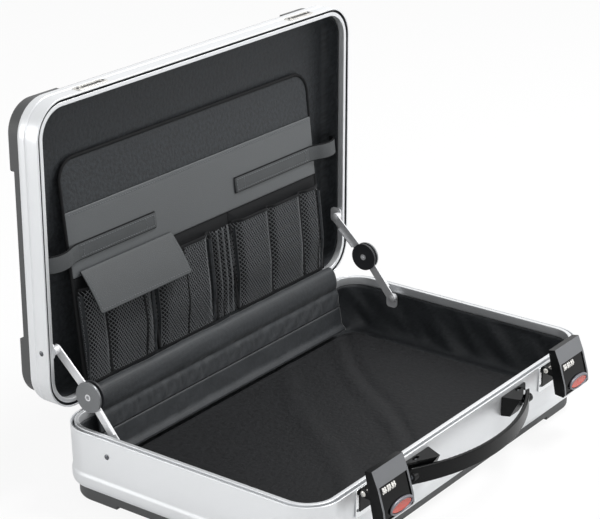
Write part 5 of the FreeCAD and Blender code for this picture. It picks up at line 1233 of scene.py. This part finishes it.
def in_cover(points, centre):
    """Case places to the open cover's own frame, as across, depth and along from its top.

    The open cover is turned by 12 degrees about its pivot, so this turns it back."""
    x, y, z = (points - PLACES["latch_cover_left"] + SHIFT).T
    c, s = math.cos(COVER_TURN), math.sin(COVER_TURN)
    return points[:, 0] - centre, COVER_PIVOT[0] - (y * c - z * s), COVER_PIVOT[1] - (y * s + z * c)


def from_cover(across, depth, along, centre):
    """Places in the latch cover's own frame to case places, with the cover swung open."""
    pivot = PLACES["latch_cover_left"] - SHIFT
    p, q = COVER_PIVOT[0] - depth, COVER_PIVOT[1] - along
    c, s = math.cos(COVER_TURN), math.sin(COVER_TURN)
    return np.stack([across + centre, pivot[1] + p * c + q * s, pivot[2] - p * s + q * c], -1)


def paint_cover(made, centre):
    """Give the cover's faces their finishes: lacquer on top and edges, gloss in the recess."""
    def lacquer(middles, normals):
        x, depth, _ = in_cover(middles, centre)
        return (normals[:, 1] < -0.3) & (np.abs(x) < 22.95) & (depth > 6.0)

    def recess(middles, normals):
        x, depth, along = in_cover(middles, centre)
        return ((normals[:, 1] < -0.3) & (np.abs(x) < 20.7) & (along > 15.2) & (along < 46)
                & (depth < 11.2))
    second_finish(made, "silver_lacquer", lacquer)
    second_finish(made, "gloss_abs", recess)


def button_surround(centre):
    """Raised rim round the button: a tube along an ellipse, thickest at its top like a hood."""
    turn = np.linspace(0, 2 * math.pi, 56, endpoint=False)
    across = BUTTON_MIDDLE[0] + BUTTON_HALF[0] * np.cos(turn)
    along = BUTTON_MIDDLE[1] - BUTTON_HALF[1] * np.sin(turn)
    front = np.interp(along, (15, 36, 45, 47.5), (10.0, 11.7, 11.0, 9.4))
    line = from_cover(across, front - 0.1, along, centre)
    rise = 0.5 + 0.5 * np.sin(turn)
    return tube(line, 0.75 + 0.85 * rise ** 1.5, 10, (0.0, -1.0, 0.2), closed=True)


def keeper_slot(centre):
    """Painted shade of a keeper's slot: a flat dark cushion of the slot's size on the lid's wall."""
    box = (centre - KEEPER_SLOT_HALF, centre + KEEPER_SLOT_HALF, 5.0, 9.7)
    x, up, out = cushion(box, 0.5, [(0.1, -0.1), (0.0, 0.12), (0.2, 0.25)], 4, 2, 4.0)
    return opened(np.stack([x, -HALF_DEPTH - out, up], -1))


class CASE_OT_latches(Step, bpy.types.Operator):
    """Draw latches: plates, brackets, links, covers, hooks and buttons"""
    bl_idname = "laptop_case.latches"
    bl_label = "Latches"
    copies = [("latch_plate_*", "chromed_steel", "nickel", 0.3),
              ("latch_bracket_* latch_link_*", "satin_nylon", "dark_plate", 0.25),
              ("latch_hook_*", "chromed_steel", "bright_steel", 0.2),
              ("latch_button_*", "tinted_polycarbonate", "button_red", 0.5),
              ("keeper_*", "nickelled_steel", "nickel", 0.2),
              ("latch_pins", "nickelled_steel", "nickel", 0.0, 40.0)]

    def make(self):
        for word, centre in LATCHES.items():
            cover = dressed("latch_cover_" + word, "satin_nylon", "cover_black", 0.35)
            paint_cover(cover, centre)
            drawn("button_surround_" + word, [button_surround(centre)], "surround_lacquer",
                  "cover_black", "latch_cover_" + word, wrap=ROUND)
            drawn("keeper_slot_" + word, [keeper_slot(centre)], "dark_keeper", "dark_plate", "lid",
                  wrap=PAD)


def figure(sign, height):
    """Flat outline of one figure, as mesh corners in millimetres and their triangles."""
    text = with_settings(bpy.data.curves.new("figure", "FONT"), body=sign, align_x="CENTER",
                         align_y="CENTER", size=height, offset=height * 0.02)
    holder = shown("figure", text)
    mesh = final_mesh(holder)
    mesh.calc_loop_triangles()
    corners = read(mesh.vertices, "co")[:, :2]
    triangles = read(mesh.loop_triangles, "vertices", np.int32)
    bpy.data.objects.remove(holder)
    bpy.data.meshes.remove(mesh)
    bpy.data.curves.remove(text)
    return corners, triangles


class CASE_OT_dials(Step, bpy.types.Operator):
    """Number wheels of the latches with their figures"""
    bl_idname = "laptop_case.dials"
    bl_label = "Dials"

    def make(self):
        signs = [figure(str(k), 3.3) for k in range(10)]
        for word in LATCHES:
            for index in (1, 2, 3):
                node = "dial_%s_%d" % (word, index)
                dressed(node, "plated_dial", "dial_brass", 0.08)
                self.figures(node, signs, index)

    def figures(self, node, signs, shown):
        """Figures round a wheel: height h up a figure is the angle h / radius round it."""
        axle = PLACES[node] - SHIFT
        places, faces, start = [], [], 0
        for k, (corners, triangles) in enumerate(signs):
            turn = math.radians(12 + 36 * (k - shown)) + corners[:, 1] / WHEEL_RADIUS
            places.append(np.stack([axle[0] + corners[:, 0], axle[1] - WHEEL_RADIUS * np.cos(turn),
                                    axle[2] + WHEEL_RADIUS * np.sin(turn)], -1))
            faces.append(triangles + start)
            start += len(corners)
        mesh = bpy.data.meshes.new(node + "_figures")
        mesh.from_pydata(placed(np.concatenate(places)).tolist(), [], np.concatenate(faces).tolist())
        mesh.update()
        piece(node + "_figures", mesh, "printing_ink", node)


class CASE_OT_fasteners(Step, bpy.types.Operator):
    """Rivets, screws and pins of the walls"""
    bl_idname = "laptop_case.fasteners"
    bl_label = "Fasteners"
    copies = [("base_fasteners lid_rivets", "polished_rivet", "nickel", 0.12, 40.0)]


# Stage


def backdrop_floor():
    """Matt white studio floor that keeps a faint shadow and is white to the camera."""
    made, tree, shader = fresh_material("studio_floor")
    shader.inputs["Base Color"].default_value = linear("#f4f4f4")
    shader.inputs["Roughness"].default_value = 0.9
    rays = add(tree, "ShaderNodeLightPath").outputs
    seen = combined(tree, "MAXIMUM", rays["Is Camera Ray"], rays["Is Transmission Ray"])
    share = combined(tree, "MAXIMUM", combined(tree, "MULTIPLY", seen, 0.9),
                     combined(tree, "MULTIPLY", rays["Is Glossy Ray"], 0.4))
    glow = add(tree, "ShaderNodeEmission", {"Color": (1.0, 1.0, 1.0, 1.0), "Strength": 1.0})
    both = add(tree, "ShaderNodeMixShader", {0: share, 1: shader.outputs[0], 2: glow.outputs[0]})
    tree.links.new(both.outputs[0], tree.nodes["Material Output"].inputs["Surface"])
    return made


def aimed(name, data, place, direction):
    """Lamp or camera of that data at a place, looking along a direction."""
    return shown(name, data, location=place, rotation_mode="QUATERNION",
                 rotation_quaternion=Vector(direction).to_track_quat("-Z", "Y"))


class CASE_OT_stage(Step, bpy.types.Operator):
    """White floor, soft studio light and the camera"""
    bl_idname = "laptop_case.stage"
    bl_label = "Stage"

    def make(self):
        bpy.context.scene.view_settings.view_transform = "Standard"
        for part in (self.floor, self.world, self.lamps, self.camera):
            part()

    def floor(self):
        """Flat floor under the case."""
        mesh = bpy.data.meshes.new("studio_floor")
        mesh.from_pydata([(-6.0, -6.0, 0), (6.0, -6.0, 0), (6.0, 6.0, 0), (-6.0, 6.0, 0)], [],
                         [(0, 1, 2, 3)])
        mesh.materials.append(backdrop_floor())
        shown("studio_floor", mesh)

    def world(self):
        """White surroundings: full white to the camera, softer as light."""
        world = bpy.data.worlds.new("studio")
        world.use_nodes = True
        bpy.context.scene.world = world
        tree = world.node_tree
        shader = tree.nodes["Background"]
        rays = add(tree, "ShaderNodeLightPath").outputs
        seen = combined(tree, "MAXIMUM", rays["Is Camera Ray"], rays["Is Glossy Ray"])
        seen = combined(tree, "MAXIMUM", seen, rays["Is Transmission Ray"])
        shader.inputs["Color"].default_value = (1.0, 1.0, 1.0, 1.0)
        tree.links.new(ranged(tree, seen, To_Min=0.36, To_Max=1.0), shader.inputs["Strength"])

    def lamps(self):
        """Large soft lamps: above, from the front left, from behind on the left, from the right."""
        for name, place, aim, width, power in (
                ("lamp_above", (0.9, -0.5, 2.0), (0, 0, 0.1), 0.8, 40.0),
                ("lamp_front", (-2.2, -1.2, 1.3), (0, 0, 0.15), 1.3, 9.0),
                ("lamp_behind", (-2.2, 1.6, 0.5), (0, 0, 0.12), 1.3, 16.0),
                ("lamp_right", (1.8, -1.6, 0.9), (0, 0, 0.15), 1.0, 8.0)):
            lamp = with_settings(bpy.data.lights.new(name, "AREA"), shape="DISK", size=width,
                                 energy=power)
            aimed(name, lamp, place, Vector(aim) - Vector(place))

    def camera(self):
        """Camera at the photograph's viewing angle."""
        lens = with_settings(bpy.data.cameras.new("camera"), lens=CAMERA_LENS, sensor_width=36.0,
                             clip_start=0.05, clip_end=50.0)
        bpy.context.scene.camera = aimed("camera", lens, placed(CAMERA_PLACE), CAMERA_AIM)


OPERATORS = (CASE_OT_stage, CASE_OT_rims, CASE_OT_shells, CASE_OT_linings, CASE_OT_floor_pad,
             CASE_OT_hinge_cloth, CASE_OT_hinge, CASE_OT_board, CASE_OT_pockets, CASE_OT_flap,
             CASE_OT_straps, CASE_OT_stays, CASE_OT_handle, CASE_OT_latches, CASE_OT_dials,
             CASE_OT_fasteners)


class CASE_PT_panel(bpy.types.Panel):
    """Steps and settings of the laptop case"""
    bl_idname = "CASE_PT_panel"
    bl_label = "Laptop Case"
    bl_space_type = "VIEW_3D"
    bl_region_type = "UI"
    bl_category = "Laptop Case"

    def draw(self, context):
        for group in (context.scene.case_sizes, context.scene.case_colours):
            for name in group.__annotations__:
                self.layout.prop(group, name)
        for kind in OPERATORS:
            self.layout.operator(kind.bl_idname)


CLASSES = (CaseColours, CaseSizes) + OPERATORS + (CASE_PT_panel,)


def register():
    """Add the classes and their settings to Blender."""
    for kind in CLASSES:
        bpy.utils.register_class(kind)
    bpy.types.Scene.case_colours = PointerProperty(type=CaseColours)
    bpy.types.Scene.case_sizes = PointerProperty(type=CaseSizes)


def unregister():
    """Take them out again."""
    del bpy.types.Scene.case_colours
    del bpy.types.Scene.case_sizes
    for kind in reversed(CLASSES):
        bpy.utils.unregister_class(kind)


def main():
    """Make every piece in order."""
    register()
    for kind in OPERATORS:
        group, name = kind.bl_idname.split(".")
        getattr(getattr(bpy.ops, group), name)()


if __name__ == "__main__":
    main()
